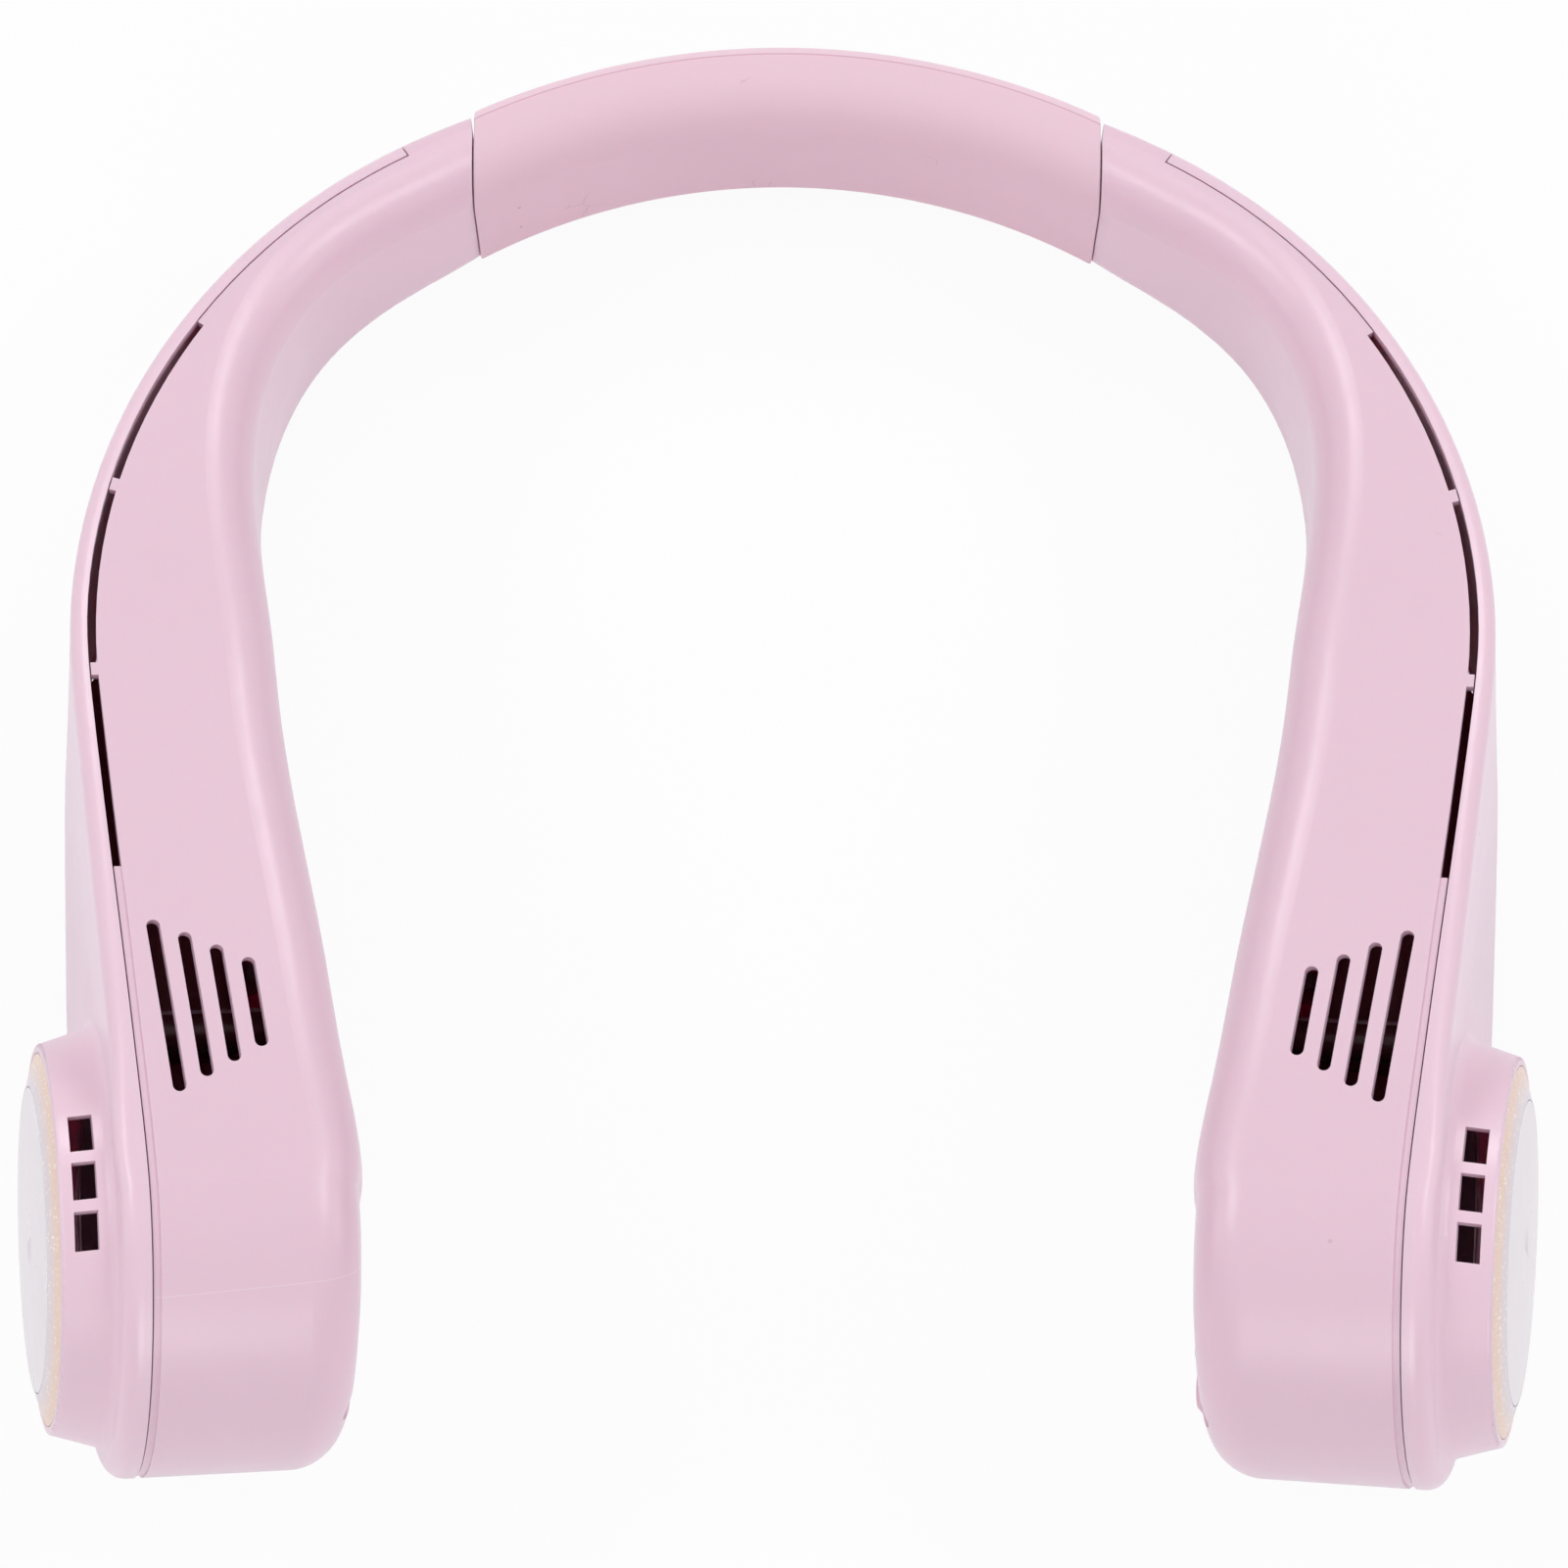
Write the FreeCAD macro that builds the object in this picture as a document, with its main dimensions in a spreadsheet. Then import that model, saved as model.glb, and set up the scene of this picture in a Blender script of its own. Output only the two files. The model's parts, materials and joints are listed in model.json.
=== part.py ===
import FreeCAD, Part
import Sketcher

import math
import os
import re

from FreeCAD import Placement, Rotation, Vector

# Electric neck fan: a horseshoe worn round the neck. A soft band at the back carries two hinged arms,
# and each arm ends in a round head with a centrifugal blower behind a glossy disc.
# Frame: +Z up with the fan lying flat, +Y towards the band, the heads at -Y, origin under the middle.

doc = FreeCAD.newDocument("NeckFan")
sheet = doc.addObject("Spreadsheet::Sheet", "Sizes")

# Driving sizes in millimetres and degrees.
DRIVING_SIZES = (
    ("neck_radius", 93.1, "outer radius of the horseshoe at the neck"),
    ("neck_half_width", 41, "middle plane to the joint between band and arm"),
    ("neck_thickness", 9.9, "arm thickness at the band"),
    ("neck_height", 28, "arm height at the band"),
    ("shoulder_angle", 59, "direction, from +X, where the shoulder bend starts"),
    ("shoulder_radius", 86.6, "radius of the shoulder bend"),
    ("toe_angle", 5.45, "how far the straight runs turn in"),
    ("lean_angle", 12.2, "how far the outer wall faces upwards"),
    ("lean_run", 169.8, "distance from the joint over which the lean builds up"),
    ("middle_thickness", 26, "arm thickness behind the shoulder"),
    ("thicken_from", 29, "distance from the joint where the arm starts to thicken"),
    ("thicken_to", 99.3, "distance from the joint where the middle thickness is reached"),
    ("head_thickness", 31.3, "thickness of the head without its drum"),
    ("head_diameter", 59, "diameter of the round head"),
    ("crown_radius", 120, "radius of the crowned inner face of the head"),
    ("neck_outer_edge", 2, "rounding of the outer edges at the band"),
    ("neck_inner_edge", 6.4, "rounding of the inner edges at the band"),
    ("head_outer_edge", 2.5, "rounding of the outer edges at the head"),
    ("head_inner_edge", 6.5, "rounding of the inner edges at the head"),
    ("wall", 1.8, "wall of the moulded shells"),
    ("seam_gap", 0.2, "parting line between shell and cover"),
    ("neck_seam_inset", 2, "seam to the outer wall near the band"),
    ("head_seam_inset", 3.45, "seam to the outer wall at the head"),
    ("cover_from", 11, "distance from the joint where the cover starts"),
    ("outlet_from", 49, "distance from the joint where the outlet slot starts"),
    ("outlet_to", 130.4, "distance from the joint where the outlet slot ends"),
    ("outlet_width", 1.1, "width of the outlet slot"),
    ("outlet_rib", 1.8, "width of the two ribs that bridge the outlet slot"),
    ("groove_depth", 0.3, "depth of the shallow groove that runs on from the outlet slot"),
    ("vent_length", 21.9, "longest oblong vent"),
    ("vent_step", 3.5, "how much each next vent is shorter"),
    ("vent_width", 1.65, "width of a vent"),
    ("vent_pitch", 3.52, "distance between vents"),
    ("vent_reach", 22, "head axis to the middle of the vents"),
    ("vent_side", 8.8, "middle of the head to the outermost vent"),
    ("vent_tilt", 5, "turn of the vents against the arm"),
    ("vent_depth", 6.5, "depth of the vents below the top of the head"),
    ("proud", 0.4, "how far the soft band stands proud of the arms"),
    ("sleeve_wall", 1.6, "wall of the soft band"),
    ("joint_gap", 0.2, "gap between band and arm"),
    ("swing", 6, "how far an arm opens outwards"),
    ("pin_radius", 1.2, "hinge pin"),
    ("pin_length", 18, "length of a hinge pin"),
    ("pin_setback", 4, "joint plane to the hinge pin"),
    ("knuckle_radius", 2.7, "hinge knuckle on the arm"),
    ("knuckle_height", 10, "height of the knuckle"),
    ("web_thickness", 2.4, "web between knuckle and arm"),
    ("running_fit", 0.05, "radial clearance of turning fits"),
    ("side_gap", 0.3, "clearance beside parts that move"),
    ("cable_radius", 1.2, "cable through the band"),
    ("cable_fit", 0.1, "clearance round the cable and the stiff core"),
    ("drum_height", 6.6, "drum above the outer wall"),
    ("drum_base", 25.8, "radius of the drum at its foot"),
    ("drum_rim", 23.9, "radius of the drum at its rim"),
    ("drum_wall", 1.5, "wall of the drum"),
    ("flare", 1.3, "soft flare at the foot of the drum"),
    ("rim_edge", 0.5, "rounding of the drum rim"),
    ("deck", 0.7, "thickness of the deck under the disc"),
    ("disc_radius", 22.7, "outer radius of the trim ring"),
    ("ring_width", 4, "width of the trim ring"),
    ("disc_recess", 0.8, "depth of the recess that holds the disc"),
    ("disc_rise", 1.6, "how far the disc is domed"),
    ("disc_fit", 0.1, "clearance round the disc and ring"),
    ("window_length", 4.6, "intake window along the rim"),
    ("window_height", 2.8, "intake window across the drum wall"),
    ("window_pitch", 6, "distance between intake windows"),
    ("window_lift", 2.2, "outer wall to the intake windows"),
    ("window_back", 1.75, "drum axis back to the middle window, towards the band"),
    ("inlet_hole", 20.2, "hole in the outer wall under the drum"),
    ("inlet_rim", 22, "outer radius of the intake ring"),
    ("inlet_plate", 1.5, "thickness of the intake ring"),
    ("inlet_eye", 13, "radius of the intake eye"),
    ("inlet_fit", 0.3, "clearance between intake ring and outer wall"),
    ("seat_height", 2.2, "motor seats above the inner wall"),
    ("base_radius", 9, "radius of the motor base"),
    ("base_thickness", 1.2, "thickness of the motor base"),
    ("ear_circle", 12.6, "head axis to the motor screws"),
    ("ear_radius", 2.3, "lugs of the motor base"),
    ("tube_radius", 2.9, "bearing tube"),
    ("bearing_radius", 2.0, "outer radius of a bearing"),
    ("bearing_height", 2.4, "height of a bearing"),
    ("shaft_radius", 0.8, "rotor shaft"),
    ("core_lift", 1.5, "motor base to the stator core"),
    ("core_height", 5, "stack height of the stator core"),
    ("core_radius", 7.4, "reach of the stator poles"),
    ("core_hub", 4.3, "radius of the stator hub"),
    ("pole_width", 1.8, "width of a stator pole"),
    ("shoe_width", 4.2, "width of a pole shoe"),
    ("shoe_depth", 0.8, "depth of a pole shoe"),
    ("coil_build", 0.8, "thickness of the winding round a pole"),
    ("coil_fit", 0.05, "clearance between winding and core"),
    ("magnet_inner", 8.1, "bore of the rotor magnet"),
    ("magnet_outer", 9.2, "outer radius of the rotor magnet"),
    ("hub_wall", 1.2, "wall of the impeller hub"),
    ("winding_room", 1.8, "stator core to the inside of the hub"),
    ("rotor_gap", 0.7, "motor base to the turning hub"),
    ("back_plate", 1.2, "thickness of the impeller back plate"),
    ("blade_inner", 12.4, "inner end of the blades"),
    ("blade_outer", 18, "outer end of the blades"),
    ("blade_sweep", 22, "angle that a blade sweeps"),
    ("blade_curve", 9, "curve radius of a blade"),
    ("blade_thickness", 0.8, "thickness of a blade"),
    ("blade_count", 18, "number of blades"),
    ("shroud_width", 1.6, "ring that ties the blade tips"),
    ("shroud_height", 0.9, "height of that ring"),
    ("impeller_gap", 0.8, "impeller to the intake ring"),
    ("screw_radius", 0.8, "shank of the motor screws"),
    ("screw_head", 1.5, "head radius of the motor screws"),
    ("screw_head_height", 0.9, "head height of the motor screws"),
    ("hole_fit", 0.1, "clearance of screw and light pipe holes"),
    ("boss_margin", 4.6, "rim of the head to the case screws"),
    ("boss_radius", 2.6, "radius of the case screw bosses"),
    ("upper_boss_turn", 70, "angle of the upper case screws from upright"),
    ("lower_boss_turn", 50, "angle of the lower case screws from straight down"),
    ("boss_split", 0, "level where the bosses of shell and cover meet"),
    ("case_screw_radius", 1.1, "shank of the case screws"),
    ("case_screw_head", 2.0, "head radius of the case screws"),
    ("case_screw_head_height", 1.4, "head height of the case screws"),
    ("case_screw_grip", 8, "case screw length inside the cover boss"),
    ("case_screw_sink", 2.6, "outside of the shell to the screw seat"),
    ("board_margin", 7.6, "rim of the head to the edge of the fan board"),
    ("board_width", 6.3, "width of the round fan board"),
    ("board_thickness", 1.2, "thickness of the fan board"),
    ("board_lift", 4.4, "inner wall to the fan board"),
    ("post_radius", 1.8, "radius of the board posts"),
    ("post_turn", 30, "angle of the first board post from upright"),
    ("button_radius", 3.6, "power button cap"),
    ("button_flange", 0.8, "flange that keeps the button in"),
    ("button_flange_height", 0.6, "height of that flange"),
    ("button_proud", 0.6, "button above the inner face"),
    ("button_travel", 0.4, "button travel"),
    ("switch_side", 4, "side of the button switch"),
    ("switch_height", 1.2, "height of the button switch"),
    ("light_radius", 0.9, "status light pipe"),
    ("light_foot", 1.4, "foot of the light pipe on the board"),
    ("light_angle", 30, "light pipe, turned from the button about the axis"),
    ("socket_width", 8.9, "charging socket width"),
    ("socket_height", 3.2, "charging socket height"),
    ("socket_depth", 7.3, "charging socket depth"),
    ("socket_shell", 0.35, "metal of the charging socket"),
    ("socket_fit", 0.2, "clearance of the socket in the shell"),
    ("socket_turn", 112, "angle of the socket from upright, over the tip"),
    ("tongue_width", 6.7, "tongue inside the socket"),
    ("tongue_height", 0.7, "thickness of that tongue"),
    ("cell_radius", 9.15, "battery cell"),
    ("cell_length", 49, "length of the battery cell"),
    ("cell_reach", 27.5, "head axis to the near end of the cell"),
    ("cell_overrun", 11.3, "how far the cell reaches into the shoulder bend"),
    ("cell_drop", 17.4, "head axis down to the cell axis"),
    ("cell_side", 2.2, "middle of the head out to the cell axis"),
    ("cell_fit", 0.15, "clearance of the cell in its ribs"),
    ("cell_edge", 0.6, "rolled edge of the cell"),
    ("cradle_rib", 2, "thickness of the ribs under the cell"),
    ("cradle_inset", 9, "cell end to the nearest rib"),
)
for row, (alias, number, meaning) in enumerate(DRIVING_SIZES, start=1):
    sheet.set(f"A{row}", meaning)
    sheet.set(f"B{row}", str(number))
    sheet.setAlias(f"B{row}", alias)
doc.recompute()

ALIASES = {alias for alias, number, meaning in DRIVING_SIZES}

# Sizes that follow from others. Most are levels along the drum axis of a head, measured from the middle
# of its thickness, outwards positive.
RULES = {
    "straight_run": "cell_reach + cell_length - cell_overrun",
    "boss_circle": "head_diameter / 2 - boss_margin",
    "board_outer": "head_diameter / 2 - board_margin",
    "board_inner": "board_outer - board_width",
    "board_middle": "board_outer - board_width / 2",
    "face": "head_thickness / 2",
    "lid": "face - wall",
    "floor": "wall - head_thickness / 2",
    "seat": "floor + seat_height",
    "base_top": "seat + base_thickness",
    "core_bottom": "base_top + core_lift",
    "core_top": "core_bottom + core_height",
    "hub_under": "core_top + winding_room",
    "hub_top": "hub_under + hub_wall",
    "skirt": "base_top + rotor_gap",
    "tube_top": "hub_under - rotor_gap",
    "plate_top": "core_top",
    "inlet_low": "lid - inlet_plate",
    "shroud_top": "inlet_low - inlet_fit - impeller_gap",
    "shroud_low": "shroud_top - shroud_height",
    "rim": "face + drum_height",
    "deck_top": "rim - disc_recess",
    "deck_low": "deck_top - deck",
    "board_low": "floor + board_lift",
    "board_top": "board_low + board_thickness",
    "switch_low": "board_low - switch_height",
    "flange_top": "switch_low - button_travel - running_fit",
    "flange_low": "flange_top - button_flange_height",
}
WORD = re.compile(r"[a-z]\w*")
FUNCTIONS = {"cos", "sin", "tan", "sqrt", "asin"}


def formula(text):
    """Write a size rule with every name bound to its cell."""
    def bind(match):
        word = match.group(0)
        if word in RULES:
            return "(" + formula(RULES[word]) + ")"
        if word in FUNCTIONS:
            return word
        if word not in ALIASES:
            raise KeyError(word)
        return "Sizes." + word
    return WORD.sub(bind, text)


def size(text):
    """Number that a size rule gives now."""
    return float(sheet.evalExpression(formula(text)))


# Sketches and bodies.

def bind(item, path, text):
    item.setExpression(path, formula(text))


def draw_loop(sketch, corners):
    """Closed outline. A corner is (x, y), or (x, y, radius) where an arc leads to the next corner.

    The arc bulges to the right of its direction for a positive radius rule and to the left for one
    that starts with a minus sign.
    """
    spots = [Vector(size(corner[0]), size(corner[1]), 0) for corner in corners]
    ends = []
    for index, corner in enumerate(corners):
        start = spots[index]
        stop = spots[(index + 1) % len(spots)]
        if len(corner) == 2:
            number = sketch.addGeometry(Part.LineSegment(start, stop), False)
            ends.append((number, 1, 2))
            continue
        left_bulge = corner[2].startswith("-")
        rule = corner[2].lstrip("-")
        radius = size(rule)
        if left_bulge:
            start, stop = stop, start
        chord = stop - start
        across = Vector(-chord.y, chord.x, 0).normalize()
        centre = (start + stop) * 0.5 + across * math.sqrt(radius ** 2 - (chord.Length / 2) ** 2)
        first = math.atan2(start.y - centre.y, start.x - centre.x)
        last = math.atan2(stop.y - centre.y, stop.x - centre.x)
        circle = Part.Circle(centre, Vector(0, 0, 1), radius)
        number = sketch.addGeometry(Part.ArcOfCircle(circle, first, last), False)
        ends.append((number, 2, 1) if left_bulge else (number, 1, 2))
        rounding = sketch.addConstraint(Sketcher.Constraint("Radius", number, radius))
        bind(sketch, f"Constraints[{rounding}]", rule)
    for index, (number, start_end, stop_end) in enumerate(ends):
        after, after_start, after_stop = ends[(index + 1) % len(ends)]
        sketch.addConstraint(Sketcher.Constraint("Coincident", number, stop_end, after, after_start))
        place_point(sketch, number, start_end, corners[index][0], corners[index][1])


def draw_circle(sketch, across, up, radius):
    circle = Part.Circle(Vector(size(across), size(up), 0), Vector(0, 0, 1), size(radius))
    number = sketch.addGeometry(circle, False)
    rounding = sketch.addConstraint(Sketcher.Constraint("Radius", number, size(radius)))
    bind(sketch, f"Constraints[{rounding}]", radius)
    place_point(sketch, number, 3, across, up)


def place_point(sketch, number, end, across, up):
    for kind, rule in (("DistanceX", across), ("DistanceY", up)):
        held = sketch.addConstraint(Sketcher.Constraint(kind, -1, 1, number, end, size(rule)))
        bind(sketch, f"Constraints[{held}]", rule)


def add_sketch(body, role, name, loops=(), circles=(), lift="0"):
    sketch = body.newObject("Sketcher::SketchObject", name)
    plane = [feature for feature in body.Origin.OriginFeatures if feature.Role == role][0]
    sketch.AttachmentSupport = (plane, [""])
    sketch.MapMode = "FlatFace"
    bind(sketch, "AttachmentOffset.Base.z", lift)
    for corners in loops:
        draw_loop(sketch, corners)
    for across, up, radius in circles:
        draw_circle(sketch, across, up, radius)
    return sketch


def add_pad(body, name, low, high, loops=(), circles=()):
    sketch = add_sketch(body, "XY_Plane", name + "_outline", loops, circles, low)
    pad = body.newObject("PartDesign::Pad", name)
    pad.Profile = sketch
    bind(pad, "Length", f"({high}) - ({low})")
    return pad


def add_pocket(body, name, low, high, loops=(), circles=()):
    sketch = add_sketch(body, "XY_Plane", name + "_outline", loops, circles, high)
    pocket = body.newObject("PartDesign::Pocket", name)
    pocket.Profile = sketch
    bind(pocket, "Length", f"({high}) - ({low})")
    return pocket


def add_turning(body, name, loops):
    sketch = add_sketch(body, "XZ_Plane", name + "_profile", loops)
    turning = body.newObject("PartDesign::Revolution", name)
    turning.Profile = sketch
    turning.ReferenceAxis = (sketch, ["V_Axis"])
    turning.Angle = 360
    return turning


def add_pattern(body, feature, count):
    pattern = body.newObject("PartDesign::PolarPattern", feature.Name + "_pattern")
    pattern.Originals = [feature]
    axis = [item for item in body.Origin.OriginFeatures if item.Role == "Z_Axis"][0]
    pattern.Axis = (axis, [""])
    pattern.Angle = 360
    if isinstance(count, str):
        bind(pattern, "Occurrences", count)
    else:
        pattern.Occurrences = count
    body.Tip = pattern
    return pattern


def box_loop(left, low, right, high):
    return [(left, low), (right, low), (right, high), (left, high)]


def new_body(name, placement):
    body = doc.addObject("PartDesign::Body", name)
    body.Label = name
    body.AllowCompound = True
    body.Placement = placement
    nodes[name] = body
    return body


def new_shape(name, shape):
    feature = doc.addObject("Part::Feature", name)
    feature.Label = name
    feature.Shape = shape
    nodes[name] = feature
    return feature


nodes = {}


# The arm's course. Distances run along the outer wall from the joint with the band to the head axis.

NECK_RADIUS = size("neck_radius")
JOINT_X = size("neck_half_width")
SHOULDER_ANGLE = math.radians(size("shoulder_angle"))
SHOULDER_RADIUS = size("shoulder_radius")
TOE = math.radians(size("toe_angle"))
LEAN = math.radians(size("lean_angle"))
HEAD_RADIUS = size("head_diameter") / 2
HALF_HEAD = size("head_thickness / 2")
WALL = size("wall")
# Drill length that passes a wall on both sides.
THROUGH = 4 * WALL
JOINT_ANGLE = math.acos(JOINT_X / NECK_RADIUS)
NECK_RUN = NECK_RADIUS * (JOINT_ANGLE - SHOULDER_ANGLE)
SHOULDER_RUN = SHOULDER_RADIUS * (SHOULDER_ANGLE + TOE)
ARM_RUN = NECK_RUN + SHOULDER_RUN + size("straight_run")
UP = Vector(0, 0, 1)
# The height rises steadily and levels off as it meets the round head.
LEVEL_SHARE = 0.2
LEVEL_POWER = 5
# The seam keeps beside the outer wall and moves inwards only at the head.
SEAM_POWER = 5
# From the band to the middle of the arm the inner face is crowned a little less than at the head.
LEAST_CROWN_SHARE = 0.75


def smooth(share):
    share = min(max(share, 0), 1)
    return share * share * (3 - 2 * share)


def between(first, last, share):
    return first + (last - first) * share


def bearing(angle):
    return Vector(math.cos(angle), math.sin(angle), 0)


class Station:
    """Cross section of the arm at one distance from the joint."""

    def __init__(self, distance):
        share = min(max(distance / ARM_RUN, 0), 1)
        shoulder_centre = bearing(SHOULDER_ANGLE) * (NECK_RADIUS - SHOULDER_RADIUS)
        if distance < NECK_RUN:
            angle = JOINT_ANGLE - distance / NECK_RADIUS
            spot = bearing(angle) * NECK_RADIUS
        elif distance < NECK_RUN + SHOULDER_RUN:
            angle = SHOULDER_ANGLE - (distance - NECK_RUN) / SHOULDER_RADIUS
            spot = shoulder_centre + bearing(angle) * SHOULDER_RADIUS
        else:
            angle = -TOE
            spot = shoulder_centre + bearing(angle) * SHOULDER_RADIUS
            spot += bearing(angle - math.pi / 2) * (distance - NECK_RUN - SHOULDER_RUN)
        middle_span = size("thicken_to") - size("thicken_from")
        first_growth = smooth((distance - size("thicken_from")) / middle_span)
        second_growth = smooth((distance - size("thicken_to")) / (ARM_RUN - size("thicken_to")))
        self.thickness = between(size("neck_thickness"), size("middle_thickness"), first_growth)
        self.thickness += (size("head_thickness") - size("middle_thickness")) * second_growth
        rise = share * (1 + LEVEL_SHARE - LEVEL_SHARE * share ** LEVEL_POWER)
        self.height = between(size("neck_height"), 2 * HEAD_RADIUS, rise)
        self.outer_edge = between(size("neck_outer_edge"), size("head_outer_edge"), share)
        self.inner_edge = between(size("neck_inner_edge"), size("head_inner_edge"), rise)
        self.crown = size("crown_radius") / max(rise, LEAST_CROWN_SHARE) ** 2
        self.seam = between(size("neck_seam_inset"), size("head_seam_inset"), share ** SEAM_POWER)
        lean = LEAN * smooth(distance / size("lean_run"))
        normal = bearing(angle)
        self.out = normal * math.cos(lean) + UP * math.sin(lean)
        self.up = UP * math.cos(lean) - normal * math.sin(lean)
        rest = size("proud") * (1 - share)
        corner = self.inner_corner(0)
        level = rest + self.inner_edge - corner.x * math.sin(lean) + corner.y * math.cos(lean)
        self.wall_level = level + math.sin(lean) * self.thickness / 2
        self.lean = lean
        self.normal = normal
        self.spot = spot

    def inner_corner(self, inset):
        """Centre of the rounding that joins the crowned inner face to the top, as (out, up)."""
        crown = self.crown - inset
        edge = self.inner_edge - inset
        rise = self.height / 2 - inset - edge
        across = math.sqrt((crown - edge) ** 2 - rise ** 2)
        return Vector(crown - self.thickness / 2 + inset - across, rise, 0)

    def place(self, head_wall_level):
        """Centre the section so that the leaned outer wall is one plane along the straight run."""
        shift = (head_wall_level - self.wall_level) * math.tan(self.lean)
        wall_spot = self.spot + self.normal * shift + UP * self.wall_level
        self.centre = wall_spot - self.out * (self.thickness / 2) + NECK_CENTRE
        return self

    def at(self, out, up):
        return self.centre + self.out * out + self.up * up

    def half_outline(self, inset):
        """Edges of the upper half, from the middle of the outer wall to the middle of the inner face."""
        right = self.thickness / 2 - inset
        top = self.height / 2 - inset
        outer = self.outer_edge - inset
        inner = self.inner_edge - inset
        crown = self.crown - inset
        corner = self.inner_corner(inset)
        crown_centre = Vector(crown - right, 0, 0)
        turn = (corner - crown_centre).normalize()
        diagonal = math.sqrt(0.5)
        inner_slope = (turn + Vector(0, 1, 0)).normalize()
        half_turn = (turn + Vector(-1, 0, 0)).normalize()
        spots = (
            (right, 0), (right, top - outer),
            (right - outer + outer * diagonal, top - outer + outer * diagonal), (right - outer, top),
            (corner.x, top),
            (corner.x + inner_slope.x * inner, corner.y + inner_slope.y * inner),
            (crown_centre.x + turn.x * crown, turn.y * crown),
            (crown_centre.x + half_turn.x * crown, half_turn.y * crown), (-right, 0),
        )
        return spots

    def outline(self, inset):
        """Closed wire of the whole section: straight outer wall, top and bottom, crowned inner face."""
        upper = self.half_outline(inset)
        low = [(out, -up) for out, up in upper]
        p = [self.at(*spot) for spot in upper]
        n = [self.at(*spot) for spot in low]
        edges = [
            Part.LineSegment(n[1], p[1]), Part.Arc(p[1], p[2], p[3]), Part.LineSegment(p[3], p[4]),
            Part.Arc(p[4], p[5], p[6]), Part.Arc(p[6], p[8], n[6]), Part.Arc(n[6], n[5], n[4]),
            Part.LineSegment(n[4], n[3]), Part.Arc(n[3], n[2], n[1]),
        ]
        return Part.Wire([edge.toShape() for edge in edges])

    def half_face(self, inset):
        """Face of the upper half of the section, closed along the drum axis."""
        p = [self.at(*spot) for spot in self.half_outline(inset)]
        edges = [
            Part.LineSegment(p[0], p[1]), Part.Arc(p[1], p[2], p[3]), Part.LineSegment(p[3], p[4]),
            Part.Arc(p[4], p[5], p[6]), Part.Arc(p[6], p[7], p[8]), Part.LineSegment(p[8], p[0]),
        ]
        return Part.Face(Part.Wire([edge.toShape() for edge in edges]))


# The origin lies under the middle of the whole outline, so the neck centre sits a little behind it.
tip_station = Station(ARM_RUN)
HEAD_WALL_LEVEL = tip_station.wall_level
tip_edge = tip_station.outer_edge
tip_slant = abs(tip_station.out.y)
tip_reach = (HEAD_RADIUS - tip_edge) * math.sqrt(1 - tip_slant ** 2)
tip_reach += (HALF_HEAD - tip_edge) * tip_slant + tip_edge
tip_axis_y = tip_station.spot.y - tip_station.out.y * HALF_HEAD
front_reach = tip_reach - tip_axis_y
back_reach = NECK_RADIUS + size("proud")
NECK_CENTRE = Vector(0, (front_reach - back_reach) / 2, 0)


def station(distance):
    return Station(distance).place(HEAD_WALL_LEVEL)


HEAD_STATION = station(ARM_RUN)
TIPWARD = HEAD_STATION.out.cross(HEAD_STATION.up)
# Head frame: X up, Y towards the tip, Z out along the drum axis.
HEAD = Placement(HEAD_STATION.centre, Rotation(HEAD_STATION.up, TIPWARD, HEAD_STATION.out, "ZXY"))
SECTION_COUNT = 13
LEAD_IN = 10
FAR = 300
SEAM_REACH = 75
SEAM_DEPTH = 50
SEAM_STEP = 12


def arm_solid(inset):
    """Arm and round head as one form, its skin moved inwards by the inset."""
    step = (ARM_RUN + LEAD_IN) / (SECTION_COUNT - 1)
    sections = [station(index * step - LEAD_IN).outline(inset) for index in range(SECTION_COUNT)]
    arm = Part.makeLoft(sections, True, False)
    head = HEAD_STATION.half_face(inset).revolve(HEAD_STATION.centre, HEAD_STATION.out, 180)
    return arm.fuse(head).removeSplitter()


def seam_zone(start, stop, widen, low=-SEAM_REACH, high=SEAM_REACH, thickness=SEAM_DEPTH):
    """Space outside the seam surface between two distances, moved inwards by the given widening."""
    count = max(2, round((stop - start) / SEAM_STEP) + 1)
    wires = []
    for index in range(count):
        here = station(between(start, stop, index / (count - 1)))
        left = here.thickness / 2 - here.seam - widen
        corners = [(left, low), (left + thickness, low), (left + thickness, high), (left, high)]
        spots = [here.at(*corner) for corner in corners]
        wires.append(Part.makePolygon(spots + spots[:1]))
    return Part.makeLoft(wires, True, False)


def block(low, high):
    return Part.makeBox(high.x - low.x, high.y - low.y, high.z - low.z, low)


def beyond(plane_x):
    """Space on the +X side of a plane across the joint."""
    return block(Vector(plane_x, -FAR, -FAR), Vector(FAR, FAR, FAR))


def rod(radius, low, high, across=0, along=0):
    """Round bar in the head frame, parallel to the drum axis."""
    shape = Part.makeCylinder(radius, high - low, Vector(across, along, low))
    shape.Placement = HEAD
    return shape


def ring_spots(radius, count, turn=0):
    """Points round the drum axis, the first one turned from upright towards the tip."""
    spots = []
    for index in range(count):
        angle = math.radians(turn + index * 360 / count)
        spots.append((radius * math.cos(angle), radius * math.sin(angle)))
    return spots


BOSS_ANGLES = ("upper_boss_turn", "(180 - lower_boss_turn)",
               "(180 + lower_boss_turn)", "(360 - upper_boss_turn)")


def boss_spots():
    angles = [size(angle) for angle in BOSS_ANGLES]
    radius = size("boss_circle")
    return [(radius * math.cos(math.radians(a)), radius * math.sin(math.radians(a))) for a in angles]


# Soft band, its stiff core and the hinge at each end.

BAND_IN = "neck_radius - neck_thickness - proud"
BAND_OUT = "neck_radius + proud"
BAND_HIGH = "neck_height + 2 * proud"


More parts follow.
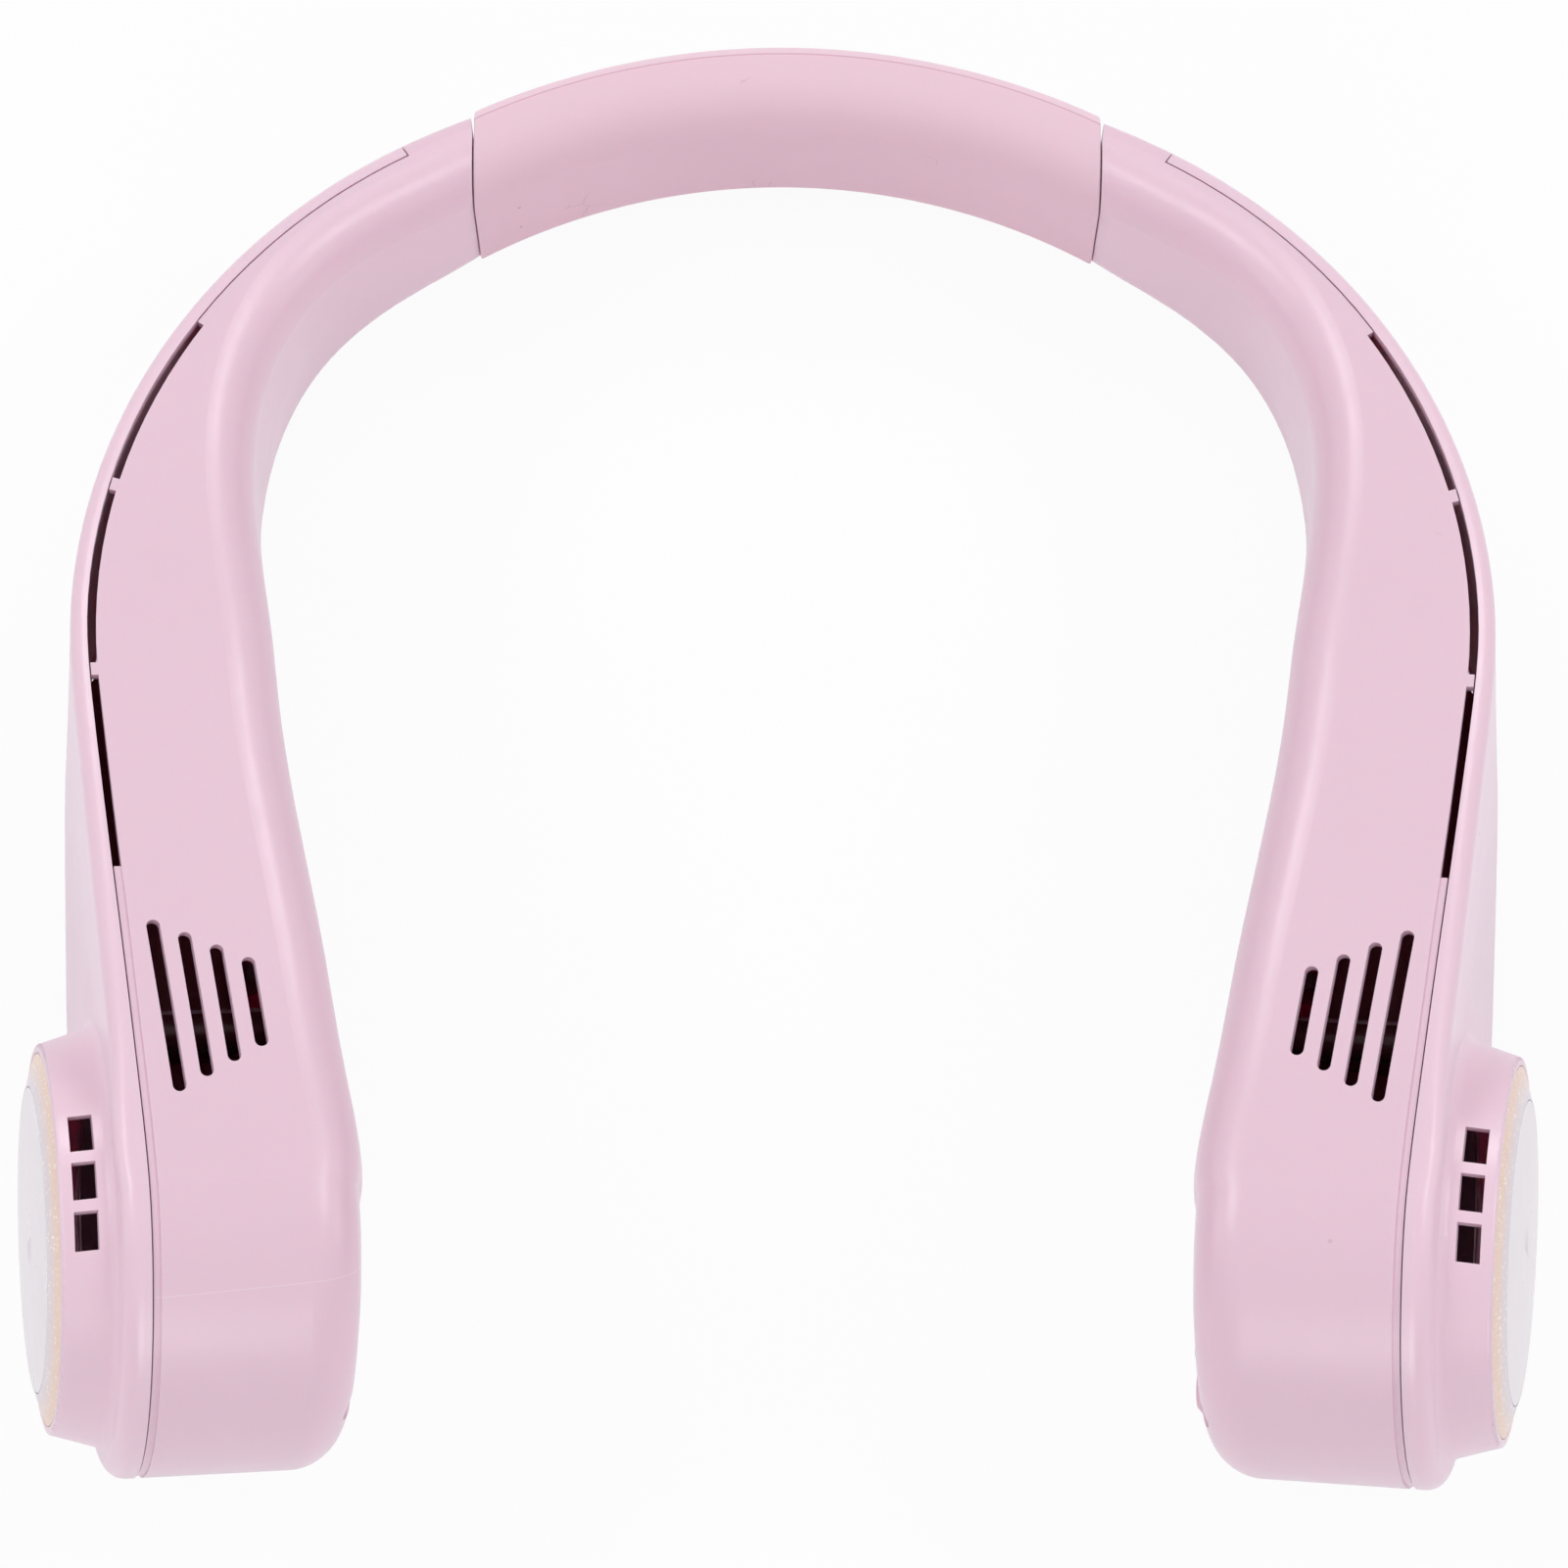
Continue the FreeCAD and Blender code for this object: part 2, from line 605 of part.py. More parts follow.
def rounded_loop(left, low, right, high, inner, outer):
    """Rectangle with one rounding on its inner side and another on its outer side."""
    return [
        (f"({left}) + {inner}", low), (f"({right}) - {outer}", low, outer),
        (right, f"({low}) + {outer}"), (right, f"({high}) - {outer}", outer),
        (f"({right}) - {outer}", high), (f"({left}) + {inner}", high, inner),
        (left, f"({high}) - {inner}"), (left, f"({low}) + {inner}", inner),
    ]


NECK = Placement(NECK_CENTRE, Rotation())
PIN_X = JOINT_X - size("pin_setback")
PIN_CIRCLE = NECK_RADIUS - size("neck_thickness") / 2
PIN_Y = NECK_CENTRE.y + math.sqrt(PIN_CIRCLE ** 2 - PIN_X ** 2)
BAND_MIDDLE = size("neck_height") / 2 + size("proud")


def band_ring(name, loops):
    """Ring round the neck axis, cut square at both joints."""
    body = doc.addObject("PartDesign::Body", name + "_ring")
    body.Placement = NECK
    add_turning(body, name + "_turning", loops)
    return body


def cut_band(name, ring, half_width):
    between_joints = doc.addObject("Part::Box", name + "_span")
    bind(between_joints, "Length", f"2 * ({half_width})")
    bind(between_joints, "Width", "2 * neck_radius")
    bind(between_joints, "Height", "2 * neck_height")
    between_joints.Placement = Placement(Vector(-size(half_width), 0, -size("proud")), Rotation())
    cut = doc.addObject("Part::Common", name)
    cut.Base = ring
    cut.Tool = between_joints
    cut.Label = name
    return cut


sleeve_outer = rounded_loop(
    BAND_IN, "0", BAND_OUT, BAND_HIGH, "(neck_inner_edge + proud)", "(neck_outer_edge + proud)")
CORE_IN = f"{BAND_IN} + sleeve_wall"
CORE_OUT = f"{BAND_OUT} - sleeve_wall"
core_edges = ("(neck_inner_edge + proud - sleeve_wall)", "(neck_outer_edge + proud - sleeve_wall)")
sleeve_inner = rounded_loop(CORE_IN, "sleeve_wall", CORE_OUT, f"{BAND_HIGH} - sleeve_wall", *core_edges)
sleeve_ring = band_ring("sleeve", [sleeve_outer, sleeve_inner])
nodes["neck_sleeve"] = cut_band("neck_sleeve", sleeve_ring, "neck_half_width")

core_outline = rounded_loop(
    f"{CORE_IN} + cable_fit", "sleeve_wall + cable_fit", f"{CORE_OUT} - cable_fit",
    f"{BAND_HIGH} - sleeve_wall - cable_fit", *core_edges)
core_ring = band_ring("core", [core_outline])
core_blank = cut_band("core_blank", core_ring, "neck_half_width - side_gap")

CABLE_CIRCLE = "neck_radius - neck_thickness / 2"
# The cable passes under both hinge pins.
CABLE_LEVEL = "neck_height / 2 + proud - pin_length / 2 - side_gap - cable_radius - cable_fit"


def cable_tube(name, radius):
    """Round tube along the band at the cable's level."""
    tube = doc.addObject("Part::Torus", name)
    bind(tube, "Radius1", CABLE_CIRCLE)
    bind(tube, "Radius2", radius)
    tube.Placement = Placement(NECK_CENTRE + UP * size(CABLE_LEVEL), Rotation())
    return tube


cable = cable_tube("cable_tube", "cable_radius")
nodes["neck_cable"] = cut_band("neck_cable", cable, "neck_half_width - side_gap")
channel = cable_tube("cable_channel", "cable_radius + cable_fit")


def mirrored_pair(shape):
    return [shape, shape.mirror(Vector(), Vector(1, 0, 0))]


def pin_bar(radius, length):
    low = Vector(PIN_X, PIN_Y, BAND_MIDDLE - length / 2)
    return Part.makeCylinder(radius, length, low)


def hinge_room():
    """Space that the knuckle and its web sweep inside the core, at both joints."""
    height = size("knuckle_height + 2 * side_gap")
    room = pin_bar(size("knuckle_radius + side_gap"), height)
    half_mouth = size("knuckle_radius + side_gap")
    mouth_low = Vector(PIN_X, PIN_Y - half_mouth, BAND_MIDDLE - height / 2)
    mouth_high = Vector(JOINT_X + WALL, PIN_Y + half_mouth, BAND_MIDDLE + height / 2)
    hole = pin_bar(size("pin_radius"), size("pin_length"))
    return mirrored_pair(room.fuse([block(mouth_low, mouth_high), hole]))


doc.recompute()
core_shape = core_blank.Shape.cut([channel.Shape] + hinge_room())
new_shape("neck_core", core_shape)
pin_shape = pin_bar(size("pin_radius"), size("pin_length"))
new_shape("hinge_pins", Part.makeCompound(mirrored_pair(pin_shape)))


# Blower motor on the inner wall of the head.

def turned(name, loops):
    body = new_body(name, HEAD)
    add_turning(body, name + "_turning", loops)
    return body


motor_base = turned("right_motor_base", [[
    ("0", "seat"), ("base_radius", "seat"), ("base_radius", "base_top"), ("tube_radius", "base_top"),
    ("tube_radius", "tube_top"), ("bearing_radius", "tube_top"), ("bearing_radius", "base_top"),
    ("0", "base_top"),
]])
lug_loops = [box_loop("tube_radius", "-ear_radius", "ear_circle", "ear_radius")]
lug = add_pad(motor_base, "base_arm", "seat", "base_top", loops=lug_loops)
add_pattern(motor_base, lug, 3)
lug_end = add_pad(motor_base, "base_lug", "seat", "base_top", circles=[("ear_circle", "0", "ear_radius")])
add_pattern(motor_base, lug_end, 3)
lug_hole = add_pocket(
    motor_base, "base_hole", "seat", "base_top", circles=[("ear_circle", "0", "screw_radius + hole_fit")])
add_pattern(motor_base, lug_hole, 3)

turned("right_motor_bearings", [
    box_loop("shaft_radius + running_fit", "base_top", "bearing_radius", "base_top + bearing_height"),
    box_loop("shaft_radius + running_fit", "tube_top - bearing_height", "bearing_radius", "tube_top"),
])

stator = new_body("right_stator_core", HEAD)
add_pad(stator, "stator_hub", "core_bottom", "core_top",
        circles=[("0", "0", "core_hub"), ("0", "0", "tube_radius")])
pole_loop = [
    ("core_hub - pole_width / 2", "-pole_width / 2"), ("core_radius - shoe_depth", "-pole_width / 2"),
    ("core_radius - shoe_depth", "-shoe_width / 2"), ("core_radius", "-shoe_width / 2"),
    ("core_radius", "shoe_width / 2"), ("core_radius - shoe_depth", "shoe_width / 2"),
    ("core_radius - shoe_depth", "pole_width / 2"), ("core_hub - pole_width / 2", "pole_width / 2"),
]
POLE_COUNT = 6
pole = add_pad(stator, "stator_pole", "core_bottom", "core_top", loops=[pole_loop])
add_pattern(stator, pole, POLE_COUNT)

coils = new_body("right_coils", HEAD)
COIL_START = "core_hub + coil_fit"
COIL_STOP = "core_radius - shoe_depth - coil_fit"
COIL_SIDE = "pole_width / 2 + coil_fit + coil_build"
coil = add_pad(coils, "coil", "core_bottom - coil_fit - coil_build", "core_top + coil_fit + coil_build",
               loops=[box_loop(COIL_START, f"-({COIL_SIDE})", COIL_STOP, COIL_SIDE)])
add_pattern(coils, coil, POLE_COUNT)
coil_bore = add_pocket(coils, "coil_bore", "core_bottom - coil_fit", "core_top + coil_fit",
                       loops=[box_loop(COIL_START, "-pole_width / 2 - coil_fit", COIL_STOP,
                                       "pole_width / 2 + coil_fit")])
add_pattern(coils, coil_bore, POLE_COUNT)

turned("right_rotor_magnet", [box_loop("magnet_inner", "core_bottom", "magnet_outer", "core_top")])
turned("right_rotor_shaft", [
    box_loop("0", "base_top + running_fit", "shaft_radius", "hub_top - running_fit"),
])

HUB_OUT = "magnet_outer + hub_wall"
impeller = turned("right_impeller", [[
    ("shaft_radius", "hub_under"), ("magnet_outer", "hub_under"), ("magnet_outer", "skirt"),
    (HUB_OUT, "skirt"), (HUB_OUT, "plate_top - back_plate"), ("blade_outer", "plate_top - back_plate"),
    ("blade_outer", "plate_top"), (HUB_OUT, "plate_top"), (HUB_OUT, "hub_top - hub_wall / 2"),
    (f"{HUB_OUT} - hub_wall / 2", "hub_top"), ("shaft_radius", "hub_top"),
]])
BLADE_END = ("blade_outer * cos(blade_sweep) - blade_thickness", "blade_outer * sin(blade_sweep)")
blade_loop = [
    ("blade_inner", "0", "blade_curve"),
    BLADE_END,
    (BLADE_END[0], f"{BLADE_END[1]} + blade_thickness", "-blade_curve"),
    ("blade_inner", "blade_thickness"),
]
blade = add_pad(impeller, "blade", "plate_top - back_plate / 2", "shroud_low + shroud_height / 2",
                loops=[blade_loop])
add_pattern(impeller, blade, "blade_count")
add_pad(impeller, "shroud", "shroud_low", "shroud_top",
        circles=[("0", "0", "blade_outer"), ("0", "0", "blade_outer - shroud_width")])


def screw_group(name, spots, head_low, head_high, head_radius, shank_low, shank_high, shank_radius):
    """Row of like screws: heads and shanks, one pair at each spot."""
    body = new_body(name, HEAD)
    heads = [(across, along, head_radius) for across, along in spots]
    shanks = [(across, along, shank_radius) for across, along in spots]
    add_pad(body, name + "_heads", head_low, head_high, circles=heads)
    add_pad(body, name + "_shanks", shank_low, shank_high, circles=shanks)


def ring_rules(radius, angles):
    """The same points as rules, for sketches."""
    return [(f"{radius} * cos({angle})", f"{radius} * sin({angle})") for angle in angles]


EAR_ANGLES = ("0", "120", "240")
screw_group("right_motor_screws", ring_rules("ear_circle", EAR_ANGLES),
            "base_top", "base_top + screw_head_height", "screw_head",
            "seat - seat_height / 2", "base_top", "screw_radius")

SCREW_SEAT = "floor - wall + case_screw_sink + crown_radius - sqrt(crown_radius^2 - boss_circle^2)"
screw_group("right_case_screws", ring_rules("boss_circle", BOSS_ANGLES),
            f"{SCREW_SEAT} - case_screw_head_height", SCREW_SEAT, "case_screw_head",
            SCREW_SEAT, "boss_split + case_screw_grip", "case_screw_radius")

board = new_body("right_fan_board", HEAD)
add_pad(board, "board_plate", "board_low", "board_top",
        circles=[("0", "0", "board_outer"), ("0", "0", "board_inner")])

turned("right_intake_ring", [[
    ("inlet_eye", "inlet_low - inlet_fit"), ("inlet_rim", "inlet_low - inlet_fit"),
    ("inlet_rim", "lid - inlet_fit"), ("inlet_hole - disc_fit", "lid - inlet_fit"),
    ("inlet_hole - disc_fit", "face"), ("inlet_hole - disc_fit - wall", "face"),
    ("inlet_hole - disc_fit - wall", "lid - inlet_fit"),
    ("inlet_eye + inlet_plate", "lid - inlet_fit", "inlet_plate"),
]])

# Glossy disc on the drum: a slightly domed cap inside a sloping ring.
RING_IN = "disc_radius - ring_width"
RING_RISE = "disc_rise * 3 / 4"
turned("right_trim_ring", [[
    (RING_IN, "deck_top"), ("disc_radius", "deck_top"),
    ("disc_radius", "rim"), (RING_IN, f"rim + {RING_RISE}"),
]])
CAP_OUT = f"{RING_IN} - disc_fit"
CAP_DOME = f"(disc_rise - {RING_RISE})"
turned("right_trim_disc", [[
    ("0", "deck_top"), (CAP_OUT, "deck_top"),
    (CAP_OUT, f"rim + {RING_RISE}", f"(({CAP_OUT})^2 + {CAP_DOME}^2) / (2 * {CAP_DOME})"),
    ("0", "rim + disc_rise"),
]])

# Right side only: button, switch, light pipe and charging socket on the fan board.
BUTTON_SPOT = Placement(HEAD.multVec(Vector(0, size("board_middle"), 0)), HEAD.Rotation)
FACE_AT_BUTTON = "floor - wall + crown_radius - sqrt(crown_radius^2 - board_middle^2)"
button = new_body("power_button", BUTTON_SPOT)
add_turning(button, "button_turning", [[
    ("0", f"{FACE_AT_BUTTON} - button_proud"),
    ("button_radius - button_proud", f"{FACE_AT_BUTTON} - button_proud"),
    ("button_radius", FACE_AT_BUTTON), ("button_radius", "flange_low"),
    ("button_radius + button_flange", "flange_low"), ("button_radius + button_flange", "flange_top"),
    ("0", "flange_top"),
]])
switch = new_body("button_switch", BUTTON_SPOT)
half_switch = "switch_side / 2"
add_pad(switch, "switch_case", "switch_low + switch_height / 3", "board_low",
        loops=[box_loop(f"-{half_switch}", f"-{half_switch}", half_switch, half_switch)])
add_pad(switch, "switch_stem", "switch_low", "switch_low + switch_height / 3",
        circles=[("0", "0", "switch_side / 4")])

LIGHT_TURN = math.radians(90 - size("light_angle"))
LIGHT_OUT = size("board_middle")
light_offset = Vector(LIGHT_OUT * math.cos(LIGHT_TURN), LIGHT_OUT * math.sin(LIGHT_TURN), 0)
LIGHT_SPOT = Placement(HEAD.multVec(light_offset), HEAD.Rotation)
light = new_body("status_light", LIGHT_SPOT)
add_turning(light, "light_turning", [[
    ("0", FACE_AT_BUTTON), ("light_radius", FACE_AT_BUTTON), ("light_radius", "board_low - light_radius"),
    ("light_foot", "board_low - light_radius"), ("light_foot", "board_low"), ("0", "board_low"),
]])

SOCKET_TURN = Rotation(Vector(0, 0, 1), size("socket_turn"))
# Socket frame: X out through the rim of the head, Z along the drum axis.
SOCKET = HEAD.multiply(Placement(Vector(), SOCKET_TURN))
SOCKET_MOUTH = "head_diameter / 2 - wall / 2"
SOCKET_BACK = f"{SOCKET_MOUTH} - socket_depth"
HALF_SOCKET = "socket_width / 2"
SOCKET_LOW = "board_top"
SOCKET_TOP = f"{SOCKET_LOW} + socket_height"


def socket_box(wall, start):
    """Outline and both levels of the socket, moved inwards by a wall, from a start to the mouth."""
    half = f"({HALF_SOCKET} - {wall})"
    outline = box_loop(start, f"-{half}", SOCKET_MOUTH, half)
    return outline, f"{SOCKET_LOW} + {wall}", f"{SOCKET_TOP} - {wall}"


socket = new_body("charging_socket", SOCKET)
outer_loop, outer_low, outer_high = socket_box("0", SOCKET_BACK)
add_pad(socket, "socket_shell_block", outer_low, outer_high, loops=[outer_loop])
inner_loop, inner_low, inner_high = socket_box("socket_shell", f"{SOCKET_BACK} + 2 * socket_shell")
add_pocket(socket, "socket_room", inner_low, inner_high, loops=[inner_loop])
tongue_level = f"{SOCKET_LOW} + socket_height / 2"
tongue_loop = box_loop(f"{SOCKET_BACK} + socket_shell", "-tongue_width / 2",
                       f"{SOCKET_MOUTH} - 2 * socket_shell", "tongue_width / 2")
tongue_low = f"{tongue_level} - tongue_height / 2"
add_pad(socket, "socket_tongue", tongue_low, f"{tongue_low} + tongue_height", loops=[tongue_loop])

# Battery cell in the lower half of the arm, along its straight run.
cell_corner = Vector(-size("cell_drop"), -size("cell_reach"), size("cell_side"))
CELL = Placement(HEAD.multVec(cell_corner), HEAD.Rotation.multiply(Rotation(Vector(1, 0, 0), 90)))
cell = new_body("right_battery_cell", CELL)
add_turning(cell, "cell_turning", [[
    ("0", "0"), ("cell_radius - cell_edge", "0"), ("cell_radius", "cell_edge"),
    ("cell_radius", "cell_length - cell_edge"), ("cell_radius - cell_edge", "cell_length"),
    ("cell_radius / 3", "cell_length"), ("cell_radius / 3", "cell_length + cell_edge"),
    ("0", "cell_length + cell_edge"),
]])

doc.recompute()

# Moulded shells of the arm: an inner shell with the flat top and an outer cover with the drum.

form = arm_solid(0)
cavity = arm_solid(WALL)
half_wall = arm_solid(WALL / 2)
END_X = JOINT_X + size("joint_gap")
shell_blank = form.common(beyond(END_X)).cut(cavity.common(beyond(END_X + WALL)))
PAST_TIP = ARM_RUN + 2 * HEAD_RADIUS
SEAM_GAP = size("seam_gap")
cover_zone = seam_zone(size("cover_from"), PAST_TIP, 0)
shell_cut = seam_zone(size("cover_from") - SEAM_GAP, PAST_TIP, SEAM_GAP)


def outlet_cuts():
    """Three stretches of the long outlet slot, parted by two ribs."""
    start = size("outlet_from")
    stop = size("outlet_to")
    rib = size("outlet_rib")
    stretch = (stop - start - 2 * rib) / 3
    width = size("outlet_width")
    cuts = []
    for index in range(3):
        low = start + index * (stretch + rib)
        cuts.append(seam_zone(low, low + stretch, width, 0, HEAD_RADIUS + WALL, 2 * width))
    return cuts


def seam_groove():
    """Shallow groove beside the seam, as wide as the outlet slot, from its end round the tip."""
    strip = seam_zone(size("outlet_to"), PAST_TIP, size("outlet_width"))
    return strip.cut(arm_solid(size("groove_depth")))


def vent_cuts():
    """Four oblong vents in the flat top beside the head."""
    cuts = []
    half = size("vent_width") / 2
    height = 2 * HEAD_RADIUS
    tilt = Rotation(Vector(1, 0, 0), -size("vent_tilt"))
    for index in range(4):
        run = size("vent_length") - index * size("vent_step") - 2 * half
        bar = Part.makeBox(height, run, 2 * half, Vector(0, -run / 2, -half))
        for end in (-run / 2, run / 2):
            bar = bar.fuse(Part.makeCylinder(half, height, Vector(0, end, 0), Vector(1, 0, 0)))
        across = size("vent_side") - index * size("vent_pitch")
        spot = Vector(HEAD_RADIUS - size("vent_depth"), -size("vent_reach"), across)
        bar.Placement = HEAD.multiply(Placement(spot, tilt))
        cuts.append(bar)
    return cuts


def window_cuts():
    """Three intake windows through the upper and lower wall of the drum."""
    length = size("window_length")
    reach = size("drum_base") + WALL
    cuts = []
    for index in (-1, 0, 1):
        along = index * size("window_pitch") - size("window_back") - length / 2
        low = Vector(-reach, along, size("face + window_lift"))
        bar = Part.makeBox(2 * reach, length, size("window_height"), low)
        bar.Placement = HEAD
        cuts.append(bar)
    return cuts


DRUM_INNER = "drum_rim - drum_wall"
drum = doc.addObject("PartDesign::Body", "drum")
drum.Placement = HEAD
# Foot of the drum: the flare leaves the outer wall and turns up into the tapered side.
SIDE_RUN = "(drum_base - drum_rim)"
SIDE_RISE = "(drum_height - rim_edge)"
SIDE = f"sqrt({SIDE_RUN}^2 + {SIDE_RISE}^2)"
FLARE_OUT = "drum_base + flare"
FLARE_BEND = f"flare * ({SIDE} + {SIDE_RUN}) / {SIDE_RISE}"
add_turning(drum, "drum_turning", [[
    ("0", "deck_low"), (DRUM_INNER, "deck_low"), ("drum_base - drum_wall", "face - wall / 2"),
    (FLARE_OUT, "face - wall / 2"), (FLARE_OUT, "face", f"-{FLARE_BEND}"),
    (f"drum_base - flare * {SIDE_RUN} / {SIDE}", f"face + flare * {SIDE_RISE} / {SIDE}"),
    ("drum_rim", "rim - rim_edge", "rim_edge"), ("drum_rim - rim_edge", "rim"),
    ("disc_radius + disc_fit", "rim"), ("disc_radius + disc_fit", "deck_top"), ("0", "deck_top"),
]])
doc.recompute()

BOSS_RADIUS = size("boss_radius")
POST_TURN = size("post_turn")
SPLIT = size("boss_split")
LID = size("lid")
FLOOR = size("floor")

cover_parts = [drum.Shape]
cover_holes = window_cuts()
cover_holes.append(rod(size("inlet_hole"), LID - WALL, size("face + window_lift")))
for across, along in boss_spots():
    cover_parts.append(rod(BOSS_RADIUS, SPLIT + SEAM_GAP, LID + WALL / 2, across, along))
    cover_holes.append(rod(size("case_screw_radius"), SPLIT, SPLIT + size("case_screw_grip"), across, along))
bare_cover = shell_blank.common(cover_zone)
cover_shape = bare_cover.fuse(cover_parts).cut(cover_holes)
new_shape("right_outer_cover", cover_shape.removeSplitter())

shell_parts = []
shell_holes = outlet_cuts() + vent_cuts()
# Posts and bosses start outside the inner wall and are then trimmed to half its thickness.
ROOT = FLOOR - WALL
for across, along in ring_spots(size("ear_circle"), 3):
    shell_parts.append(rod(size("ear_radius"), ROOT, size("seat"), across, along))
    shell_holes.append(rod(size("screw_radius"), size("seat - seat_height / 2"), size("seat"), across, along))
for across, along in ring_spots(size("board_middle"), 3, POST_TURN):
    shell_parts.append(rod(size("post_radius"), ROOT, size("board_low"), across, along))
screw_seat = size(SCREW_SEAT)
for across, along in boss_spots():
    shell_parts.append(rod(BOSS_RADIUS, ROOT, SPLIT, across, along))
    head_room = size("case_screw_head + hole_fit")
    shell_holes.append(rod(head_room, FLOOR - THROUGH / 2, screw_seat, across, along))
    shell_holes.append(rod(size("case_screw_radius + hole_fit"), screw_seat, SPLIT, across, along))


def cradle_ribs():
    """Two ribs under the battery cell, shaped to the shell and to the cell."""
    thickness = size("cradle_rib")
    inset = size("cradle_inset")
    bore = Part.makeCylinder(size("cell_radius + cell_fit"), size("cell_length"))
    bore.Placement = CELL
    ribs = []
    for along in (inset, size("cell_length") - inset - thickness):
        slab = Part.makeBox(FAR, FAR, thickness, Vector(-FAR, -FAR / 2, along))
        slab.Placement = CELL
        ribs.append(half_wall.common(slab).cut([bore, shell_cut]))
    return ribs


def hinge_arm():
    """Knuckle on the hinge pin and the web that joins it to the end wall of the arm."""
    height = size("knuckle_height")
    half_web = size("web_thickness") / 2
    low = Vector(PIN_X, PIN_Y - half_web, BAND_MIDDLE - height / 2)
    high = Vector(END_X + WALL / 2, PIN_Y + half_web, BAND_MIDDLE + height / 2)
    return pin_bar(size("knuckle_radius"), height).fuse(block(low, high))


def swing_relief():
    """Space that the band end takes up, seen from the arm when it is fully open."""
    edge = block(Vector(-FAR, -FAR, -FAR), Vector(JOINT_X + size("side_gap") / 2, FAR, FAR))
    edge.rotate(Vector(PIN_X, PIN_Y, 0), UP, -size("swing"))
    return edge


cable_hole = Part.makeCylinder(
    size("cable_radius + cable_fit"), THROUGH,
    Vector(END_X - WALL, NECK_CENTRE.y + math.sqrt(PIN_CIRCLE ** 2 - END_X ** 2), size(CABLE_LEVEL)),
    Vector(1, 0, 0))
left_open = shell_blank.cut([shell_cut, swing_relief(), seam_groove()])
shell_parts = [part.common(half_wall) for part in shell_parts]
inner_shell = left_open.fuse(shell_parts + cradle_ribs()).cut(shell_holes)
pin_hole = pin_bar(size("pin_radius + running_fit"), size("neck_height"))
inner_shell = inner_shell.fuse(hinge_arm()).cut([cable_hole, pin_hole])
inner_shell = inner_shell.removeSplitter()
new_shape("left_inner_shell", inner_shell.mirror(Vector(), Vector(1, 0, 0)))


def drilled(spot, radius, level):
    """Hole parallel to the drum axis that starts at a level and passes the inner wall."""
    hole = Part.makeCylinder(size(radius), THROUGH, Vector(0, 0, level))
    hole.Placement = spot
    return hole


button_hole = drilled(BUTTON_SPOT, "button_radius + side_gap / 2", FLOOR - THROUGH / 2)
FLANGE_ROOM = "button_radius + button_flange + side_gap"
flange_room = drilled(BUTTON_SPOT, FLANGE_ROOM, size("flange_low - running_fit"))
light_hole = drilled(LIGHT_SPOT, "light_radius + hole_fit", FLOOR - THROUGH / 2)
socket_half = size(f"{HALF_SOCKET} + socket_fit")
socket_low = Vector(size(SOCKET_BACK), -socket_half, size(f"{SOCKET_LOW} - socket_fit"))
socket_high = Vector(size("head_diameter"), socket_half, size(f"{SOCKET_TOP} + socket_fit"))
socket_hole = block(socket_low, socket_high)
socket_hole.Placement = SOCKET
right_shell = inner_shell.cut([button_hole, flange_room, light_hole, socket_hole])
new_shape("right_inner_shell", right_shell.removeSplitter())


# Left side: the mirror image of every right-hand piece that both arms have.
for name in [name for name in nodes if name.startswith("right_") and name != "right_inner_shell"]:
    twin_name = name.replace("right_", "left_", 1)
    twin = doc.addObject("Part::Mirroring", twin_name)
    twin.Label = twin_name
    twin.Source = nodes[name]
    twin.Normal = Vector(1, 0, 0)
    nodes[twin_name] = twin

doc.recompute()
for item in doc.Objects:
    if "Invalid" in item.State or "Error" in item.State:
        raise RuntimeError(f"{item.Name} failed: {item.State}")
for name, item in nodes.items():
    if item.Shape.isNull() or not item.Shape.isValid():
        raise RuntimeError(f"{name} has no valid shape")

os.makedirs("parts", exist_ok=True)
for name, item in sorted(nodes.items()):
    item.Shape.exportStep(f"parts/{name}.step")
    print(f"{name}: {len(item.Shape.Solids)} solids, {item.Shape.Volume:.1f} mm3")
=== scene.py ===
import json
import math

import bmesh
import bpy
from mathutils import Matrix, Quaternion, Vector


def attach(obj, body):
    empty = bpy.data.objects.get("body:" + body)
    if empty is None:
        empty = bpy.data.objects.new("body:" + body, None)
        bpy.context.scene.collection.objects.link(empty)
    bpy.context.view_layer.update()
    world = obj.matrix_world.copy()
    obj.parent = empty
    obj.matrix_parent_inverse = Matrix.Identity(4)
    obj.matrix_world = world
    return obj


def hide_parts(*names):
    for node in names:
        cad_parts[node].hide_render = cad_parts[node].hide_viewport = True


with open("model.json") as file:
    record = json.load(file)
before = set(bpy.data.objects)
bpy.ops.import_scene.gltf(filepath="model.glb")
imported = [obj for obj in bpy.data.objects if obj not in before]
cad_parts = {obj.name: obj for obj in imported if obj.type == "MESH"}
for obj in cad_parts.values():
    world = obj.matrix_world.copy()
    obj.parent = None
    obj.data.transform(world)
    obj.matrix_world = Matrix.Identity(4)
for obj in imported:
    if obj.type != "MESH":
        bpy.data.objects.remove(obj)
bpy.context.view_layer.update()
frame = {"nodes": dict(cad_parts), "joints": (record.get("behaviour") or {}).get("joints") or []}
nodes = frame["nodes"]

# Neck core, hinge pins and cable. A stiff pink moulding fills the soft band, a zinc-plated steel pin at
# each end carries an arm, and a thin jacketed cable runs under the pins from one arm to the other.


def paint(red, green, blue):
    """Colour as it looks on the piece, each part from 0 to 255, in linear values."""
    parts = [value / 255 for value in (red, green, blue)]
    linear = [part / 12.92 if part <= 0.04045 else ((part + 0.055) / 1.055) ** 2.4 for part in parts]
    return (*linear, 1.0)


